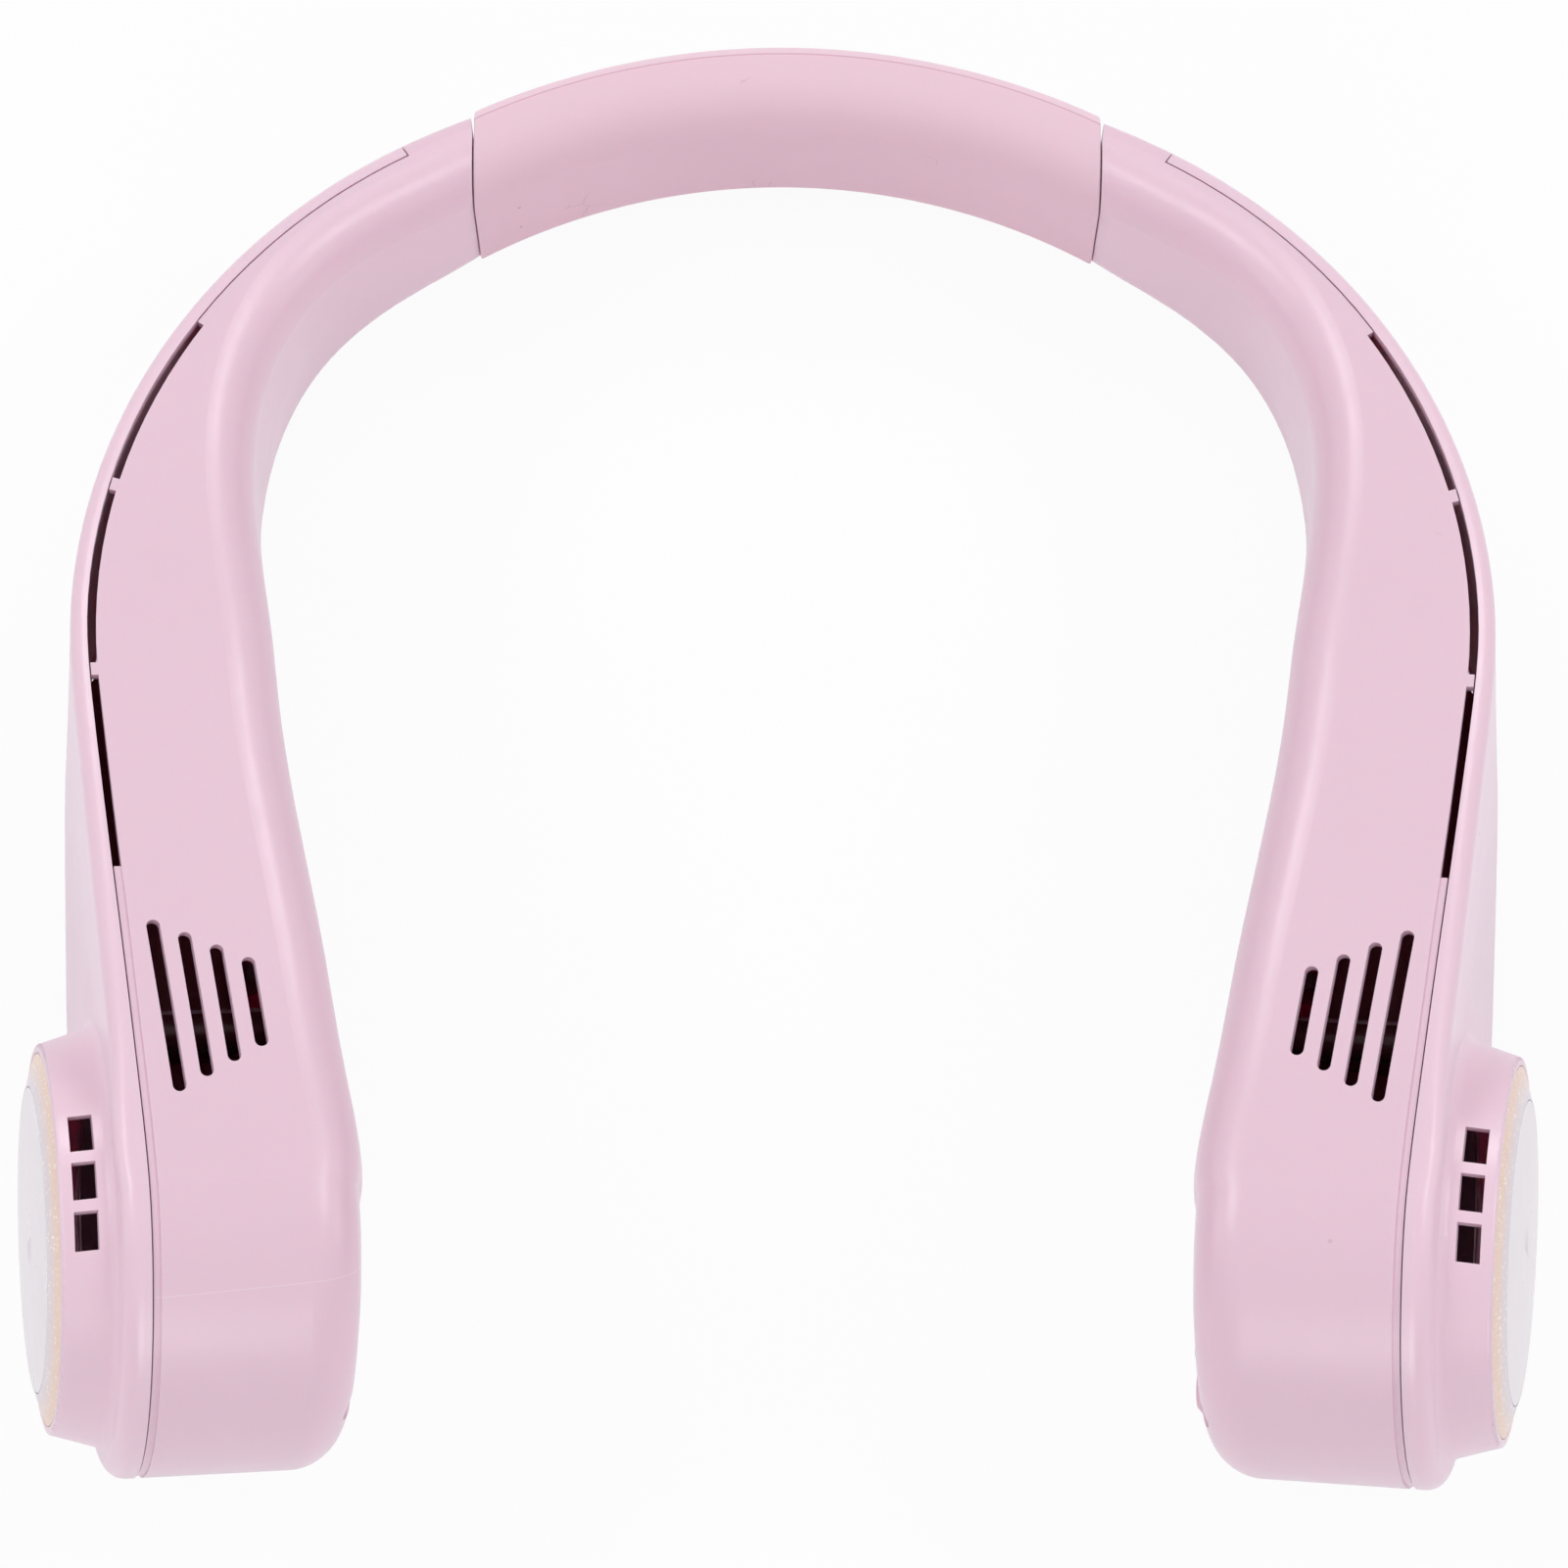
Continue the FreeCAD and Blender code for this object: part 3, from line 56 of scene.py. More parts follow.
def put(tree, kind, wired=None, **settings):
    """Add a shader node; wired gives its sockets a value or the output of another node."""
    node = tree.nodes.new(kind)
    for name, value in settings.items():
        setattr(node, name, value)
    for socket, value in (wired or {}).items():
        if isinstance(value, bpy.types.NodeSocket):
            tree.links.new(value, node.inputs[socket])
        else:
            node.inputs[socket].default_value = value
    return node


def math_node(tree, operation, *values):
    return put(tree, "ShaderNodeMath", dict(enumerate(values)), operation=operation).outputs[0]


def vector_node(tree, operation, *vectors):
    """Result of a vector operation: a value for LENGTH and DOT_PRODUCT, otherwise a vector."""
    node = put(tree, "ShaderNodeVectorMath", dict(enumerate(vectors)), operation=operation)
    return node.outputs["Value" if operation in ("LENGTH", "DOT_PRODUCT") else "Vector"]


def noise(tree, place, scale, detail):
    return put(tree, "ShaderNodeTexNoise", {"Vector": place, "Scale": scale, "Detail": detail}).outputs["Fac"]


def blend(tree, share, first, second):
    """Colour between two colours."""
    return put(tree, "ShaderNodeMix", {0: share, 6: first, 7: second}, data_type="RGBA").outputs[2]


def ramp(tree, value, start, stop, low=0.0, high=1.0):
    """Low at start, high at stop and an even slope between."""
    settings = {"Value": value, "From Min": start, "From Max": stop, "To Min": low, "To Max": high}
    return put(tree, "ShaderNodeMapRange", settings).outputs[0]


def object_place(tree):
    return put(tree, "ShaderNodeTexCoord").outputs["Object"]


def new_group(name, inputs, outputs):
    """Empty node group with named sockets, and its two end nodes."""
    group = bpy.data.node_groups.new(name, "ShaderNodeTree")
    for socket, kind, value in inputs:
        group.interface.new_socket(socket, in_out="INPUT", socket_type=kind).default_value = value
    for socket, kind in outputs:
        group.interface.new_socket(socket, in_out="OUTPUT", socket_type=kind)
    return group, group.nodes.new("NodeGroupInput"), group.nodes.new("NodeGroupOutput")


def new_material(name):
    """Material with one Principled BSDF."""
    material = bpy.data.materials.new(name)
    material.use_nodes = True
    return material, material.node_tree, material.node_tree.nodes["Principled BSDF"]


def dress(material, *names):
    """Give the material to all slots of the named CAD nodes."""
    for name in names:
        for slot in nodes[name].material_slots:
            slot.material = material


FLOAT, COLOUR, VECTOR = "NodeSocketFloat", "NodeSocketColor", "NodeSocketVector"

# Moulded skin: a slow drift of tone, patches that shine a little more or less, and a spark-eroded grain.
DRIFT_SCALE, PATCH_SCALE, PATCH_SWING = 38, 210, 0.14
moulded_skin, skin_in, skin_out = new_group(
    "moulded_skin",
    [("Colour", COLOUR, (1, 1, 1, 1)), ("Drift", FLOAT, 0.03),
     ("Roughness", FLOAT, 0.4), ("Grain", FLOAT, 5000)],
    [("Colour", COLOUR), ("Roughness", FLOAT), ("Height", FLOAT)])
place = object_place(moulded_skin)
swing = math_node(moulded_skin, "SUBTRACT", noise(moulded_skin, place, DRIFT_SCALE, 2), 0.5)
drift = math_node(moulded_skin, "MULTIPLY_ADD", swing, skin_in.outputs["Drift"], 1.0)
toned = put(moulded_skin, "ShaderNodeHueSaturation", {"Value": drift, "Color": skin_in.outputs["Colour"]})
patch = noise(moulded_skin, place, PATCH_SCALE, 3)
shine = math_node(moulded_skin, "MULTIPLY_ADD", patch, PATCH_SWING, -PATCH_SWING / 2)
rough = math_node(moulded_skin, "ADD", skin_in.outputs["Roughness"], shine)
grain = put(moulded_skin, "ShaderNodeTexNoise",
            {"Vector": place, "Scale": skin_in.outputs["Grain"], "Detail": 2, "Roughness": 0.6})
moulded_skin.links.new(toned.outputs["Color"], skin_out.inputs["Colour"])
moulded_skin.links.new(rough, skin_out.inputs["Roughness"])
moulded_skin.links.new(grain.outputs["Fac"], skin_out.inputs["Height"])


def moulded(name, colour, roughness, grain_depth, drift=0.05, grain=5000):
    """Moulded plastic or rubber with the skin above; grain depth is in metres."""
    material, tree, shader = new_material(name)
    settings = {"Colour": colour, "Drift": drift, "Roughness": roughness, "Grain": grain}
    skin = put(tree, "ShaderNodeGroup", settings, node_tree=moulded_skin)
    height = skin.outputs["Height"]
    bump = put(tree, "ShaderNodeBump", {"Height": height, "Strength": 1.0, "Distance": grain_depth})
    tree.links.new(skin.outputs["Colour"], shader.inputs["Base Color"])
    tree.links.new(skin.outputs["Roughness"], shader.inputs["Roughness"])
    tree.links.new(bump.outputs["Normal"], shader.inputs["Normal"])
    return material, tree, shader, skin


# Worked metal: fine streaks along one axis of the piece that darken, roughen and scratch it.
STREAK_DARKEST, STREAK_TONES = 0.75, 0.5
STREAK_SMOOTHEST, STREAK_ROUGHS, SCRATCH_DEPTH = -0.12, 0.25, 0.00002
worked_metal, metal_in, metal_out = new_group(
    "worked_metal",
    [("Colour", COLOUR, (0.6, 0.6, 0.6, 1)), ("Roughness", FLOAT, 0.3),
     ("Streak", VECTOR, (400, 400, 4000))],
    [("Colour", COLOUR), ("Roughness", FLOAT), ("Height", FLOAT)])
along = vector_node(worked_metal, "MULTIPLY", object_place(worked_metal), metal_in.outputs["Streak"])
streak = noise(worked_metal, along, 1.0, 4)
shade = math_node(worked_metal, "MULTIPLY_ADD", streak, STREAK_TONES, STREAK_DARKEST)
tinted = put(worked_metal, "ShaderNodeHueSaturation", {"Value": shade, "Color": metal_in.outputs["Colour"]})
lift = math_node(worked_metal, "MULTIPLY_ADD", streak, STREAK_ROUGHS, STREAK_SMOOTHEST)
rough = math_node(worked_metal, "ADD", metal_in.outputs["Roughness"], lift)
worked_metal.links.new(tinted.outputs["Color"], metal_out.inputs["Colour"])
worked_metal.links.new(rough, metal_out.inputs["Roughness"])
worked_metal.links.new(streak, metal_out.inputs["Height"])


def metal(name, colour, roughness, streak):
    """Worked metal; streak is how close the streaks lie along each axis."""
    material, tree, shader = new_material(name)
    settings = {"Colour": colour, "Roughness": roughness, "Streak": streak}
    worked = put(tree, "ShaderNodeGroup", settings, node_tree=worked_metal)
    height = worked.outputs["Height"]
    bump = put(tree, "ShaderNodeBump", {"Height": height, "Strength": 0.4, "Distance": SCRATCH_DEPTH})
    shader.inputs["Metallic"].default_value = 1.0
    tree.links.new(worked.outputs["Colour"], shader.inputs["Base Color"])
    tree.links.new(worked.outputs["Roughness"], shader.inputs["Roughness"])
    tree.links.new(bump.outputs["Normal"], shader.inputs["Normal"])
    return material


inner_pink = moulded("inner_pink", paint(226, 176, 194), 0.5, 0.00001)[0]
dress(inner_pink, "neck_core")
zinc = metal("zinc_steel", paint(196, 197, 202), 0.28, (600, 600, 5000))
dress(zinc, "hinge_pins")
dress(moulded("cable_jacket", paint(44, 40, 42), 0.55, 0.00002, grain=3000)[0], "neck_cable")

# Blower motors. A die-cast base with its bearing tube is screwed to the inner wall of each head and holds
# the laminated stator with its six copper windings; a ferrite ring and a steel shaft turn with the fan.
SIDES = ("right", "left")
SHEET_BANDS, WIRE_BANDS, BAND_DEPTH = 500, 700, 0.00008
joints = {joint["name"]: joint for joint in frame["joints"]}


def head_frame(side):
    """Centre of a head and its directions up, towards the tip and out along the drum axis."""
    joint = joints[f"{side}_rotor_spin"]
    out = Vector(joint["axis"]).normalized()
    up = (Vector((0, 0, 1)) - out * out.z).normalized()
    return Vector(joint["pos_m"]), up, out.cross(up), out


def head_place(tree, side):
    """Object coordinates seen from one head: X up, Y across, Z out along the drum axis."""
    centre, up, across, out = head_frame(side)
    turn = Matrix((up, across, out)).transposed().to_euler()
    settings = {"Vector": object_place(tree), "Location": centre, "Rotation": turn}
    return put(tree, "ShaderNodeMapping", settings, vector_type="TEXTURE").outputs["Vector"]


def banded(name, side, dark, light, roughness, scale, **bands):
    """Metal with even bands round or along the drum axis, such as wire turns or stacked sheets."""
    material, tree, shader = new_material(f"{side}_{name}")
    settings = {"Vector": head_place(tree, side), "Scale": scale, "Distortion": 0.4, "Detail": 1}
    lines = put(tree, "ShaderNodeTexWave", settings, **bands).outputs["Fac"]
    bump = put(tree, "ShaderNodeBump", {"Height": lines, "Strength": 0.8, "Distance": BAND_DEPTH})
    shader.inputs["Metallic"].default_value = 1.0
    shader.inputs["Roughness"].default_value = roughness
    tree.links.new(blend(tree, lines, dark, light), shader.inputs["Base Color"])
    tree.links.new(bump.outputs["Normal"], shader.inputs["Normal"])
    return material


cast = metal("cast_motor_base", paint(178, 178, 182), 0.5, (1500, 1500, 1500))
bronze = metal("sintered_bronze", paint(186, 150, 96), 0.45, (3000, 3000, 3000))
shaft_steel = metal("ground_shaft", paint(206, 207, 210), 0.18, (2500, 600, 600))
ferrite = moulded("pressed_ferrite", paint(62, 60, 62), 0.6, 0.00003, grain=2500)[0]
fan_plastic = moulded("fan_plastic", paint(58, 50, 53), 0.42, 0.00001)[0]
for side in SIDES:
    dress(cast, f"{side}_motor_base")
    dress(bronze, f"{side}_motor_bearings")
    dress(shaft_steel, f"{side}_rotor_shaft")
    dress(ferrite, f"{side}_rotor_magnet")
    dress(fan_plastic, f"{side}_impeller")
    dress(zinc, f"{side}_motor_screws", f"{side}_case_screws")
    sheets = banded("stator_sheets", side, paint(84, 84, 90), paint(120, 120, 126), 0.4, SHEET_BANDS,
                    bands_direction="Z")
    dress(sheets, f"{side}_stator_core")
    wire = banded("enamelled_wire", side, paint(140, 74, 42), paint(206, 128, 78), 0.3, WIRE_BANDS,
                  wave_type="RINGS", rings_direction="Z")
    dress(wire, f"{side}_coils")

# Fan boards, battery cells and intake rings. A ring of green glass-fibre board stands on three posts over
# each motor, a round cell in rose shrink wrap lies in the arm, and a pink ring guides air into the fan.
TRACK_SCALE, TRACK_FROM, TRACK_SHARE = 600, 0.55, 0.35
board_finish, tree, shader, skin = moulded("board_resist", paint(38, 92, 58), 0.3, 0.00001, drift=0.2)
settings = {"Vector": object_place(tree), "Scale": TRACK_SCALE}
tracks = put(tree, "ShaderNodeTexVoronoi", settings, distance="CHEBYCHEV").outputs["Distance"]
copper_share = math_node(tree, "MULTIPLY", math_node(tree, "GREATER_THAN", tracks, TRACK_FROM), TRACK_SHARE)
traced = blend(tree, copper_share, skin.outputs["Colour"], paint(112, 150, 84))
tree.links.new(traced, shader.inputs["Base Color"])
wrap = moulded("cell_wrap", paint(206, 118, 136), 0.25, 0.00001, drift=0.12)[0]
dress(board_finish, "right_fan_board", "left_fan_board")
dress(wrap, "right_battery_cell", "left_battery_cell")
dress(inner_pink, "right_intake_ring", "left_intake_ring")

# Arm shells. Each arm is two halves of satin pink moulded plastic, screwed together: an inner shell with the
# flat top, its vents and the rounded neck side, and an outer cover with the drum, painted a shade paler as
# painted light.
# They meet at the seam, which opens into the outlet slot.


def scaled(tree, vector, factor):
    settings = {0: vector, "Scale": factor}
    return put(tree, "ShaderNodeVectorMath", settings, operation="SCALE").outputs["Vector"]


# Lint: stray dust dots and a few short hairs that cling to the surface.
WOBBLE_SCALE, WOBBLE_REACH = 900, 0.0006
DOT_CELLS, DOT_LEAST, DOT_SWING = 260, 0.03, 0.05
HAIR_CELLS, HAIR_WIDTH, HAIR_PATCHES = 170, 0.022, 120
HAIR_FADE, HAIR_SHARE = 0.04, 0.6
lint, lint_in, lint_out = new_group(
    "lint",
    [("Colour", COLOUR, (1, 1, 1, 1)), ("Dust", COLOUR, (0.4, 0.3, 0.3, 1)), ("Dots", FLOAT, 0.9),
     ("Hairs", FLOAT, 0.72), ("Share", FLOAT, 0.5)],
    [("Colour", COLOUR)])
place = object_place(lint)
wobble = put(lint, "ShaderNodeTexNoise", {"Vector": place, "Scale": WOBBLE_SCALE, "Detail": 1})
bent = vector_node(lint, "ADD", place, scaled(lint, wobble.outputs["Color"], WOBBLE_REACH))
cells = put(lint, "ShaderNodeTexVoronoi", {"Vector": bent, "Scale": DOT_CELLS})
luck = put(lint, "ShaderNodeSeparateColor", {"Color": cells.outputs["Color"]})
chosen = math_node(lint, "GREATER_THAN", luck.outputs["Red"], lint_in.outputs["Dots"])
small = math_node(lint, "MULTIPLY_ADD", luck.outputs["Green"], DOT_SWING, DOT_LEAST)
inside = math_node(lint, "LESS_THAN", cells.outputs["Distance"], small)
dot = math_node(lint, "MULTIPLY", chosen, inside)
strands = put(lint, "ShaderNodeTexVoronoi", {"Vector": bent, "Scale": HAIR_CELLS}, feature="DISTANCE_TO_EDGE")
thin = ramp(lint, strands.outputs["Distance"], 0.0, HAIR_WIDTH, 1.0, 0.0)
past = math_node(lint, "SUBTRACT", noise(lint, place, HAIR_PATCHES, 1), lint_in.outputs["Hairs"])
hair = math_node(lint, "MULTIPLY", thin, ramp(lint, past, 0.0, HAIR_FADE, 0.0, HAIR_SHARE))
dust = math_node(lint, "MULTIPLY", math_node(lint, "MAXIMUM", dot, hair), lint_in.outputs["Share"])
dusted = blend(lint, dust, lint_in.outputs["Colour"], lint_in.outputs["Dust"])
lint.links.new(dusted, lint_out.inputs["Colour"])


def dusty(tree, colour, dust, dots, hairs, share):
    """Colour with lint on it; dots and hairs are thresholds, so higher ones leave less lint."""
    settings = {"Colour": colour, "Dust": dust, "Dots": dots, "Hairs": hairs, "Share": share}
    return put(tree, "ShaderNodeGroup", settings, node_tree=lint).outputs["Colour"]


SHELL_PINK, LIT_COVER_PINK, HOLLOW_SHADE_ROSE = paint(238, 203, 219), paint(243, 208, 224), paint(112, 64, 74)
SHELL_DUST, SHEEN_TINT = paint(196, 160, 176), paint(236, 236, 250)
# Bounds of the hollow of the head, where deep rose painted shade goes.
CAVITY_FROM, CAVITY_TO, CAVITY_RADIUS = -0.011, 0.0132, 0.0272


def axis_distance(tree, side):
    """Distance from the drum axis of one head."""
    return vector_node(tree, "LENGTH", vector_node(tree, "MULTIPLY", head_place(tree, side), (1, 1, 0)))


def hollow_shade(tree, side, colour):
    """The colour, darkened to deep rose in the hollow of the head: painted shade for the shadow inside it."""
    level = put(tree, "ShaderNodeSeparateXYZ", {"Vector": head_place(tree, side)}).outputs["Z"]
    above = math_node(tree, "GREATER_THAN", level, CAVITY_FROM)
    below = math_node(tree, "LESS_THAN", level, CAVITY_TO)
    within = math_node(tree, "LESS_THAN", axis_distance(tree, side), CAVITY_RADIUS)
    inside = math_node(tree, "MULTIPLY", math_node(tree, "MULTIPLY", above, below), within)
    return blend(tree, inside, colour, HOLLOW_SHADE_ROSE)


def glow_through(shader):
    """Light that soaks a few millimetres into pink plastic or silicone and comes out redder."""
    shader.inputs["Subsurface Weight"].default_value = 0.2
    shader.inputs["Subsurface Radius"].default_value = (1.0, 0.35, 0.4)
    shader.inputs["Subsurface Scale"].default_value = 0.004


def satin_pink(name, side, pink):
    """Satin plastic with a little lint, and deep rose painted shade inside the hollow of the head."""
    material, tree, shader, skin = moulded(name, pink, 0.31, 0.000006, drift=0.03)
    glow_through(shader)
    shader.inputs["Specular IOR Level"].default_value = 0.5
    shader.inputs["Sheen Weight"].default_value = 0.32
    shader.inputs["Sheen Roughness"].default_value = 0.3
    shader.inputs["Sheen Tint"].default_value = SHEEN_TINT
    # Painted shade: deep rose inside the hollow of the head.
    colour = hollow_shade(tree, side, dusty(tree, skin.outputs["Colour"], SHELL_DUST, 0.975, 0.76, 0.35))
    tree.links.new(colour, shader.inputs["Base Color"])
    return material, tree, shader, colour


dress(satin_pink("satin_pink", "right", SHELL_PINK)[0], "right_inner_shell")
# The covers get a paler pink: painted light for the stronger light falling on them.
for side in SIDES:
    dress(satin_pink(f"{side}_satin_pink_cover", side, LIT_COVER_PINK)[0], f"{side}_outer_cover")

# The left shell gets a hair-thin paler line painted across the rim of its head, a painted highlight along the
# shading break where the arm meets the head.
LINE_TURN, LINE_SKEW = math.radians(-25), 0.06
LINE_HALF, LINE_FROM, LINE_SHARE = 0.00007, 0.02, 0.3
highlight_line_finish, tree, shader, colour = satin_pink("satin_pink_highlight_line", "left", SHELL_PINK)
left_place = head_place(tree, "left")
line_normal = (-math.sin(LINE_TURN), math.cos(LINE_TURN), LINE_SKEW)
line_way = (math.cos(LINE_TURN), math.sin(LINE_TURN), 0)
near = math_node(tree, "COMPARE", vector_node(tree, "DOT_PRODUCT", left_place, line_normal), 0.0, LINE_HALF)
rim_side = math_node(tree, "GREATER_THAN", vector_node(tree, "DOT_PRODUCT", left_place, line_way), LINE_FROM)
# Painted highlight: paler along the line.
paler = math_node(tree, "MULTIPLY", math_node(tree, "MULTIPLY", near, rim_side), LINE_SHARE)
tree.links.new(blend(tree, paler, colour, paint(252, 236, 243)), shader.inputs["Base Color"])
dress(highlight_line_finish, "left_inner_shell")

# Trim rings and discs. A sloping ring of clear peach resin full of glitter flakes frames a slightly domed
# disc of pale pearl plastic, and both are glued into the recess on top of each drum.
PEARL = paint(230, 221, 230)
PEACH_FROM, PEACH_TO = 0.0192, 0.0219
FLAKE_SCALE, FLAKE_CHANCE, FLAKE_LEAN, FLAKE_METAL = 4200, 0.96, 0.25, 0.7
for side in SIDES:
    ring_finish, tree, shader = new_material(f"{side}_glitter_peach")
    flakes = put(tree, "ShaderNodeTexVoronoi", {"Vector": object_place(tree), "Scale": FLAKE_SCALE})
    chance = put(tree, "ShaderNodeSeparateColor", {"Color": flakes.outputs["Color"]})
    bright = math_node(tree, "GREATER_THAN", chance.outputs["Red"], FLAKE_CHANCE)
    peach = blend(tree, chance.outputs["Green"], paint(240, 205, 188), paint(246, 218, 203))
    tone = blend(tree, ramp(tree, axis_distance(tree, side), PEACH_FROM, PEACH_TO), PEARL, peach)
    tilt = vector_node(tree, "SUBTRACT", flakes.outputs["Color"], (0.5, 0.5, 0.5))
    facing = put(tree, "ShaderNodeNewGeometry").outputs["Normal"]
    turned = vector_node(tree, "ADD", facing, scaled(tree, tilt, FLAKE_LEAN))
    tree.links.new(blend(tree, bright, tone, paint(255, 246, 230)), shader.inputs["Base Color"])
    tree.links.new(vector_node(tree, "NORMALIZE", turned), shader.inputs["Normal"])
    tree.links.new(math_node(tree, "MULTIPLY", bright, FLAKE_METAL), shader.inputs["Metallic"])
    shader.inputs["Roughness"].default_value = 0.45
    shader.inputs["Coat Weight"].default_value = 0.2
    shader.inputs["Coat Roughness"].default_value = 0.1
    dress(ring_finish, f"{side}_trim_ring")

disc_finish, tree, shader, skin = moulded("pearl_disc", PEARL, 0.3, 0.000003, drift=0.03)
shader.inputs["Coat Weight"].default_value = 0.3
shader.inputs["Coat Roughness"].default_value = 0.08
dress(disc_finish, "right_trim_disc", "left_trim_disc")

# Button, switch, light pipe and charging socket of the right head: a pink push cap over a black tactile
# switch, a frosted light pipe, and a drawn steel socket with its tongue.
dress(moulded("button_pink", paint(226, 184, 202), 0.36, 0.000006)[0], "power_button")
dress(moulded("switch_black", paint(40, 40, 42), 0.5, 0.00001)[0], "button_switch")
dress(metal("socket_steel", paint(190, 191, 196), 0.25, (300, 3000, 300)), "charging_socket")
pipe_finish, tree, shader, skin = moulded("frosted_pipe", paint(238, 238, 234), 0.35, 0.000005)
shader.inputs["Transmission Weight"].default_value = 0.5
dress(pipe_finish, "status_light")

# Neck sleeve. A soft silicone tube is stretched over the core between the two arms and stands a little
# proud of them; a mould step runs along its outer edges and its ends are rounded lips.
SLEEVE_AXIS = Vector((0, 0.001605, 0))
SLEEVE_IN, SLEEVE_OUT, SLEEVE_HIGH, SLEEVE_WALL = 0.0828, 0.0935, 0.0288, 0.0016
SLEEVE_HALF, SLEEVE_LIP = 0.041, 0.0003
SLEEVE_ROUND, BORE_ROUND, BORE_EDGE = 0.0068, 0.0052, 0.0008
STEP_IN, STEP_DROP, STEP_ROUND = 0.0013, 0.00012, 0.00004
STRIP_DROP, STRIP_ROUND = 0.0005, 0.001
LIP_CUTS, LIP_SHARE = (0.25, 0.5, 0.75, 1.0), 0.7
SLEEVE_TURN, SLEEVE_STEPS = math.radians(31), 120
STEP_RADIUS = SLEEVE_OUT - STEP_IN


def cut_across(mesh, reach, clear_outer):
    """Cut the tube square to the X axis on both sides, at a reach from the middle."""
    for side in (-1, 1):
        bmesh.ops.bisect_plane(mesh, geom=mesh.verts[:] + mesh.edges[:] + mesh.faces[:], dist=1e-7,
                               plane_co=(side * reach, 0, 0), plane_no=(side, 0, 0), clear_outer=clear_outer)


def spun_tube(corners):
    """Ring of rounded corners, each (radius, height, rounding), spun round the neck axis and cut square."""
    mesh = bmesh.new()
    turn = Matrix.Rotation(-SLEEVE_TURN, 4, "Z")
    points = [mesh.verts.new(SLEEVE_AXIS + turn @ Vector((0, radius, height)))
              for radius, height, _ in corners]
    mesh.faces.new(points)
    for point, (_, _, rounding) in zip(points, corners):
        bmesh.ops.bevel(mesh, geom=[point], offset=rounding, offset_type="OFFSET", segments=12, profile=0.5,
                        affect="VERTICES", material=-1)
    bmesh.ops.delete(mesh, geom=mesh.faces[:], context="FACES_ONLY")
    bmesh.ops.spin(mesh, geom=mesh.verts[:] + mesh.edges[:], cent=SLEEVE_AXIS, axis=(0, 0, 1),
                   angle=2 * SLEEVE_TURN, steps=SLEEVE_STEPS)
    cut_across(mesh, SLEEVE_HALF, True)
    return mesh


skin_mesh = spun_tube([
    (SLEEVE_IN, 0, SLEEVE_ROUND), (STEP_RADIUS, 0, STEP_ROUND), (STEP_RADIUS, STEP_DROP, STEP_ROUND),
    (SLEEVE_OUT, STRIP_DROP, STRIP_ROUND), (SLEEVE_OUT, SLEEVE_HIGH - STRIP_DROP, STRIP_ROUND),
    (STEP_RADIUS, SLEEVE_HIGH - STEP_DROP, STEP_ROUND), (STEP_RADIUS, SLEEVE_HIGH, STEP_ROUND),
    (SLEEVE_IN, SLEEVE_HIGH, SLEEVE_ROUND)])
for inset in LIP_CUTS:
    cut_across(skin_mesh, SLEEVE_HALF - SLEEVE_LIP * inset, False)
bmesh.ops.recalc_face_normals(skin_mesh, faces=skin_mesh.faces[:])
skin_mesh.normal_update()
for vert in skin_mesh.verts:
    reach = min((abs(vert.co.x) - SLEEVE_HALF + SLEEVE_LIP) / SLEEVE_LIP, 1)
    if reach > 0:
        inward = Vector((0, vert.normal.y, vert.normal.z)).normalized()
        vert.co -= inward * SLEEVE_LIP * (1 - math.sqrt(1 - reach ** 2)) * LIP_SHARE

bore_mesh = spun_tube([
    (SLEEVE_IN + SLEEVE_WALL, SLEEVE_WALL, BORE_ROUND), (SLEEVE_OUT - SLEEVE_WALL, SLEEVE_WALL, BORE_EDGE),
    (SLEEVE_OUT - SLEEVE_WALL, SLEEVE_HIGH - SLEEVE_WALL, BORE_EDGE),
    (SLEEVE_IN + SLEEVE_WALL, SLEEVE_HIGH - SLEEVE_WALL, BORE_ROUND)])
sleeve_mesh = bpy.data.meshes.new("neck_sleeve_soft")
bore_mesh.to_mesh(sleeve_mesh)
bore_mesh.free()
skin_mesh.from_mesh(sleeve_mesh)
for side in (-1, 1):
    rims = [edge for edge in skin_mesh.edges if edge.is_boundary and edge.verts[0].co.x * side > 0]
    bmesh.ops.bridge_loops(skin_mesh, edges=rims)
bmesh.ops.recalc_face_normals(skin_mesh, faces=skin_mesh.faces[:])
for face in skin_mesh.faces:
    face.smooth = True
skin_mesh.to_mesh(sleeve_mesh)
skin_mesh.free()
sleeve = bpy.data.objects.new("neck_sleeve_soft", sleeve_mesh)
bpy.context.scene.collection.objects.link(sleeve)

sleeve_finish, tree, shader, skin = moulded("soft_silicone", paint(240, 204, 218), 0.58, 0.00001, grain=2600)
shader.inputs["Specular IOR Level"].default_value = 0.35
glow_through(shader)
colour = dusty(tree, skin.outputs["Colour"], paint(170, 132, 146), 0.86, 0.69, 0.6)

# A darker reddish line is painted along the mould step where the halves met, partly the parting line and
# partly painted shade beside the step, and the strip outside it is painted paler, a painted highlight on the
# outward-facing strip.
PARTING_HALF, PARTING_SHADE_SHARE, STRIP_LIGHT_SHARE = 0.0001, 0.5, 0.4
from_axis = vector_node(tree, "SUBTRACT", object_place(tree), SLEEVE_AXIS)
radius = vector_node(tree, "LENGTH", vector_node(tree, "MULTIPLY", from_axis, (1, 1, 0)))
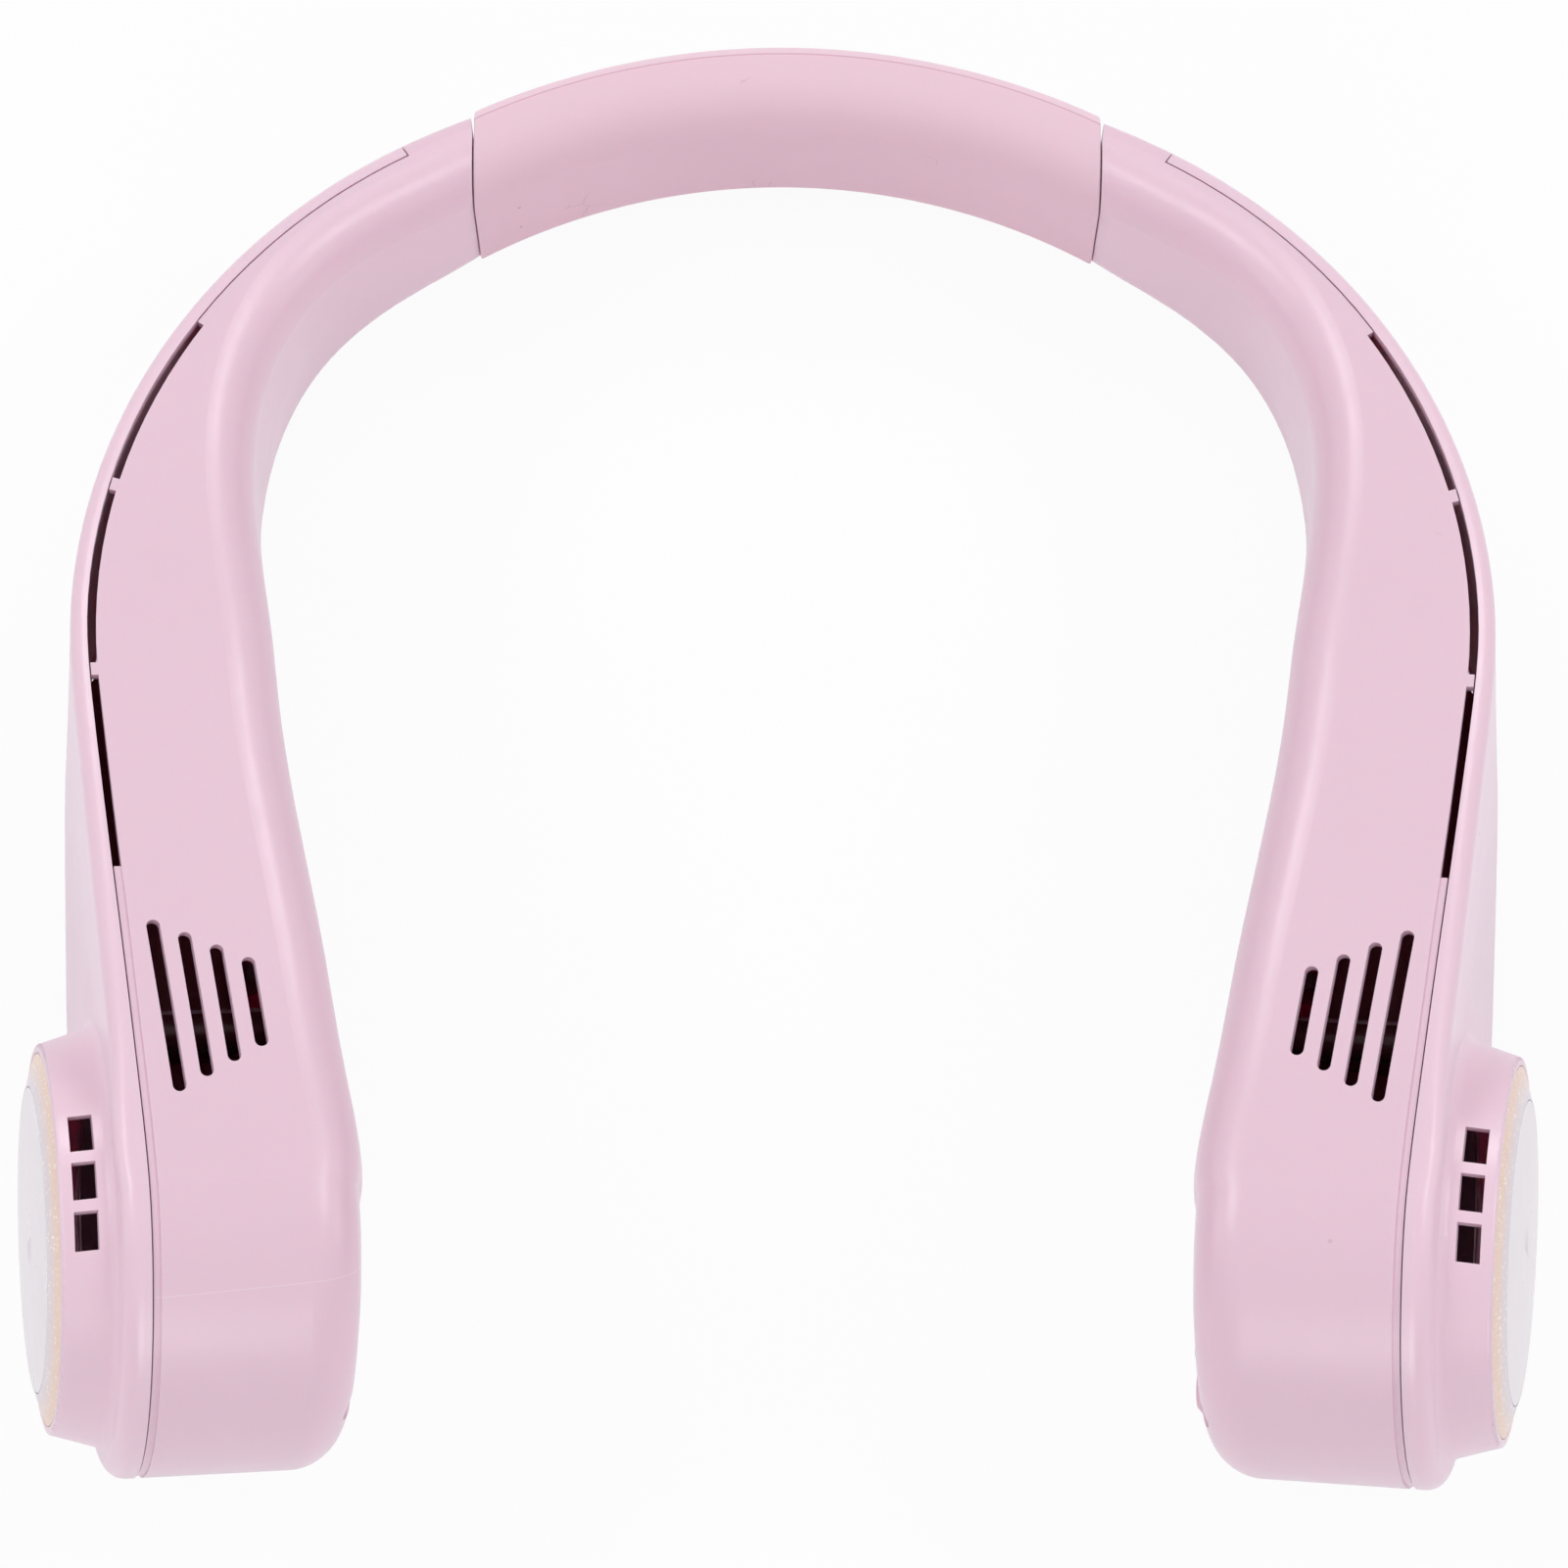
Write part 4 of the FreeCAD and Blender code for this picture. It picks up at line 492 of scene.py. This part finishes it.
# Painted highlight on the strip outside the step, and painted shade on the line at the step.
outside = math_node(tree, "GREATER_THAN", radius, STEP_RADIUS)
strip = math_node(tree, "MULTIPLY", outside, STRIP_LIGHT_SHARE)
near = math_node(tree, "COMPARE", radius, STEP_RADIUS - PARTING_HALF, PARTING_HALF)
line = math_node(tree, "MULTIPLY", near, PARTING_SHADE_SHARE)
colour = blend(tree, strip, colour, paint(250, 224, 235))
colour = blend(tree, line, colour, paint(196, 138, 158))
tree.links.new(colour, shader.inputs["Base Color"])
sleeve_mesh.materials.append(sleeve_finish)
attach(sleeve, "neck")
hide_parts("neck_sleeve")

# Studio: a pale floor under the fan, three soft lamps at each side and one at the open end, and an even
# white surround. The camera looks down at the photograph's angle.
FLOOR_REACH, FLOOR_DROP, FLOOR_WHITE = 3.0, 0.0002, 0.93
SOFT_LIGHT = 0.37
floor_mesh = bpy.data.meshes.new("floor")
plane = bmesh.new()
bmesh.ops.create_grid(plane, x_segments=1, y_segments=1, size=FLOOR_REACH)
bmesh.ops.translate(plane, verts=plane.verts[:], vec=(0, 0, -FLOOR_DROP))
plane.to_mesh(floor_mesh)
plane.free()
floor = bpy.data.objects.new("floor", floor_mesh)
bpy.context.scene.collection.objects.link(floor)


def seen_rays(tree):
    """1 for rays from the camera, a mirror or clear material, else 0."""
    rays = put(tree, "ShaderNodeLightPath").outputs
    first = math_node(tree, "MAXIMUM", rays["Is Camera Ray"], rays["Is Glossy Ray"])
    return math_node(tree, "MAXIMUM", first, rays["Is Transmission Ray"])


floor_finish = bpy.data.materials.new("pale_floor")
floor_finish.use_nodes = True
tree = floor_finish.node_tree
tree.nodes.clear()
matte = put(tree, "ShaderNodeBsdfDiffuse", {"Color": (0.86, 0.86, 0.87, 1)})
white = put(tree, "ShaderNodeEmission", {"Color": (1, 1, 1, 1), "Strength": 1.0})
amount = math_node(tree, "MULTIPLY", seen_rays(tree), FLOOR_WHITE)
mixed = put(tree, "ShaderNodeMixShader", {0: amount, 1: matte.outputs[0], 2: white.outputs[0]})
put(tree, "ShaderNodeOutputMaterial", {"Surface": mixed.outputs[0]})
floor_mesh.materials.append(floor_finish)

world = bpy.data.worlds.new("white_surround")
bpy.context.scene.world = world
world.use_nodes = True
tree = world.node_tree
tree.nodes.clear()
soft = put(tree, "ShaderNodeBackground", {"Color": (1, 1, 1, 1), "Strength": SOFT_LIGHT})
shown = put(tree, "ShaderNodeBackground", {"Color": (1, 1, 1, 1), "Strength": 1.0})
either = put(tree, "ShaderNodeMixShader", {0: seen_rays(tree), 1: soft.outputs[0], 2: shown.outputs[0]})
put(tree, "ShaderNodeOutputWorld", {"Surface": either.outputs[0]})


def soft_lamp(name, spot, aim, size, watts):
    """Round area lamp at a spot, turned to its aim."""
    lamp = bpy.data.lights.new(name, "AREA")
    lamp.shape = "DISK"
    lamp.size = size
    lamp.energy = watts
    item = bpy.data.objects.new(name, lamp)
    bpy.context.scene.collection.objects.link(item)
    item.location = spot
    item.rotation_euler = (Vector(aim) - Vector(spot)).to_track_quat("-Z", "Y").to_euler()


LAMP_AIM, FRONT_AIM = (0, 0, 0.02), (0, 0.05, 0.02)
LAMP_SIZE, FRONT_SIZE = 0.35, 0.5
for name, side in (("left", -1), ("right", 1)):
    soft_lamp(f"{name}_side", (side * 0.75, 0.1, 0.8), LAMP_AIM, LAMP_SIZE, 1.8)
    soft_lamp(f"{name}_back", (side * 0.5, 0.7, 0.75), LAMP_AIM, LAMP_SIZE, 2.25)
    soft_lamp(f"{name}_low", (side * 0.85, 0, 0.25), LAMP_AIM, LAMP_SIZE, 0.4)
soft_lamp("front", (0, -0.85, 0.5), FRONT_AIM, FRONT_SIZE, 2.3)

TARGET, DISTANCE, FRAME_WIDTH = Vector((0, -0.00646, 0.030)), 0.680, 0.19765
TILT, ROLL = math.radians(16), math.radians(0.5)
PHOTO_PIXELS, SHIFT_PIXELS = 1601, 2.5
back = Vector((0, -math.sin(TILT), math.cos(TILT)))
view = bpy.data.cameras.new("camera")
view.sensor_width = 36
view.lens = view.sensor_width * DISTANCE / FRAME_WIDTH
view.shift_x = SHIFT_PIXELS / PHOTO_PIXELS
view.clip_start = 0.01
view.clip_end = 20
camera = bpy.data.objects.new("camera", view)
bpy.context.scene.collection.objects.link(camera)
camera.location = TARGET + back * DISTANCE
camera.rotation_mode = "QUATERNION"
camera.rotation_quaternion = (-back).to_track_quat("-Z", "Y") @ Quaternion((0, 0, 1), ROLL)
bpy.context.scene.camera = camera
bpy.context.scene.view_settings.view_transform = "Standard"
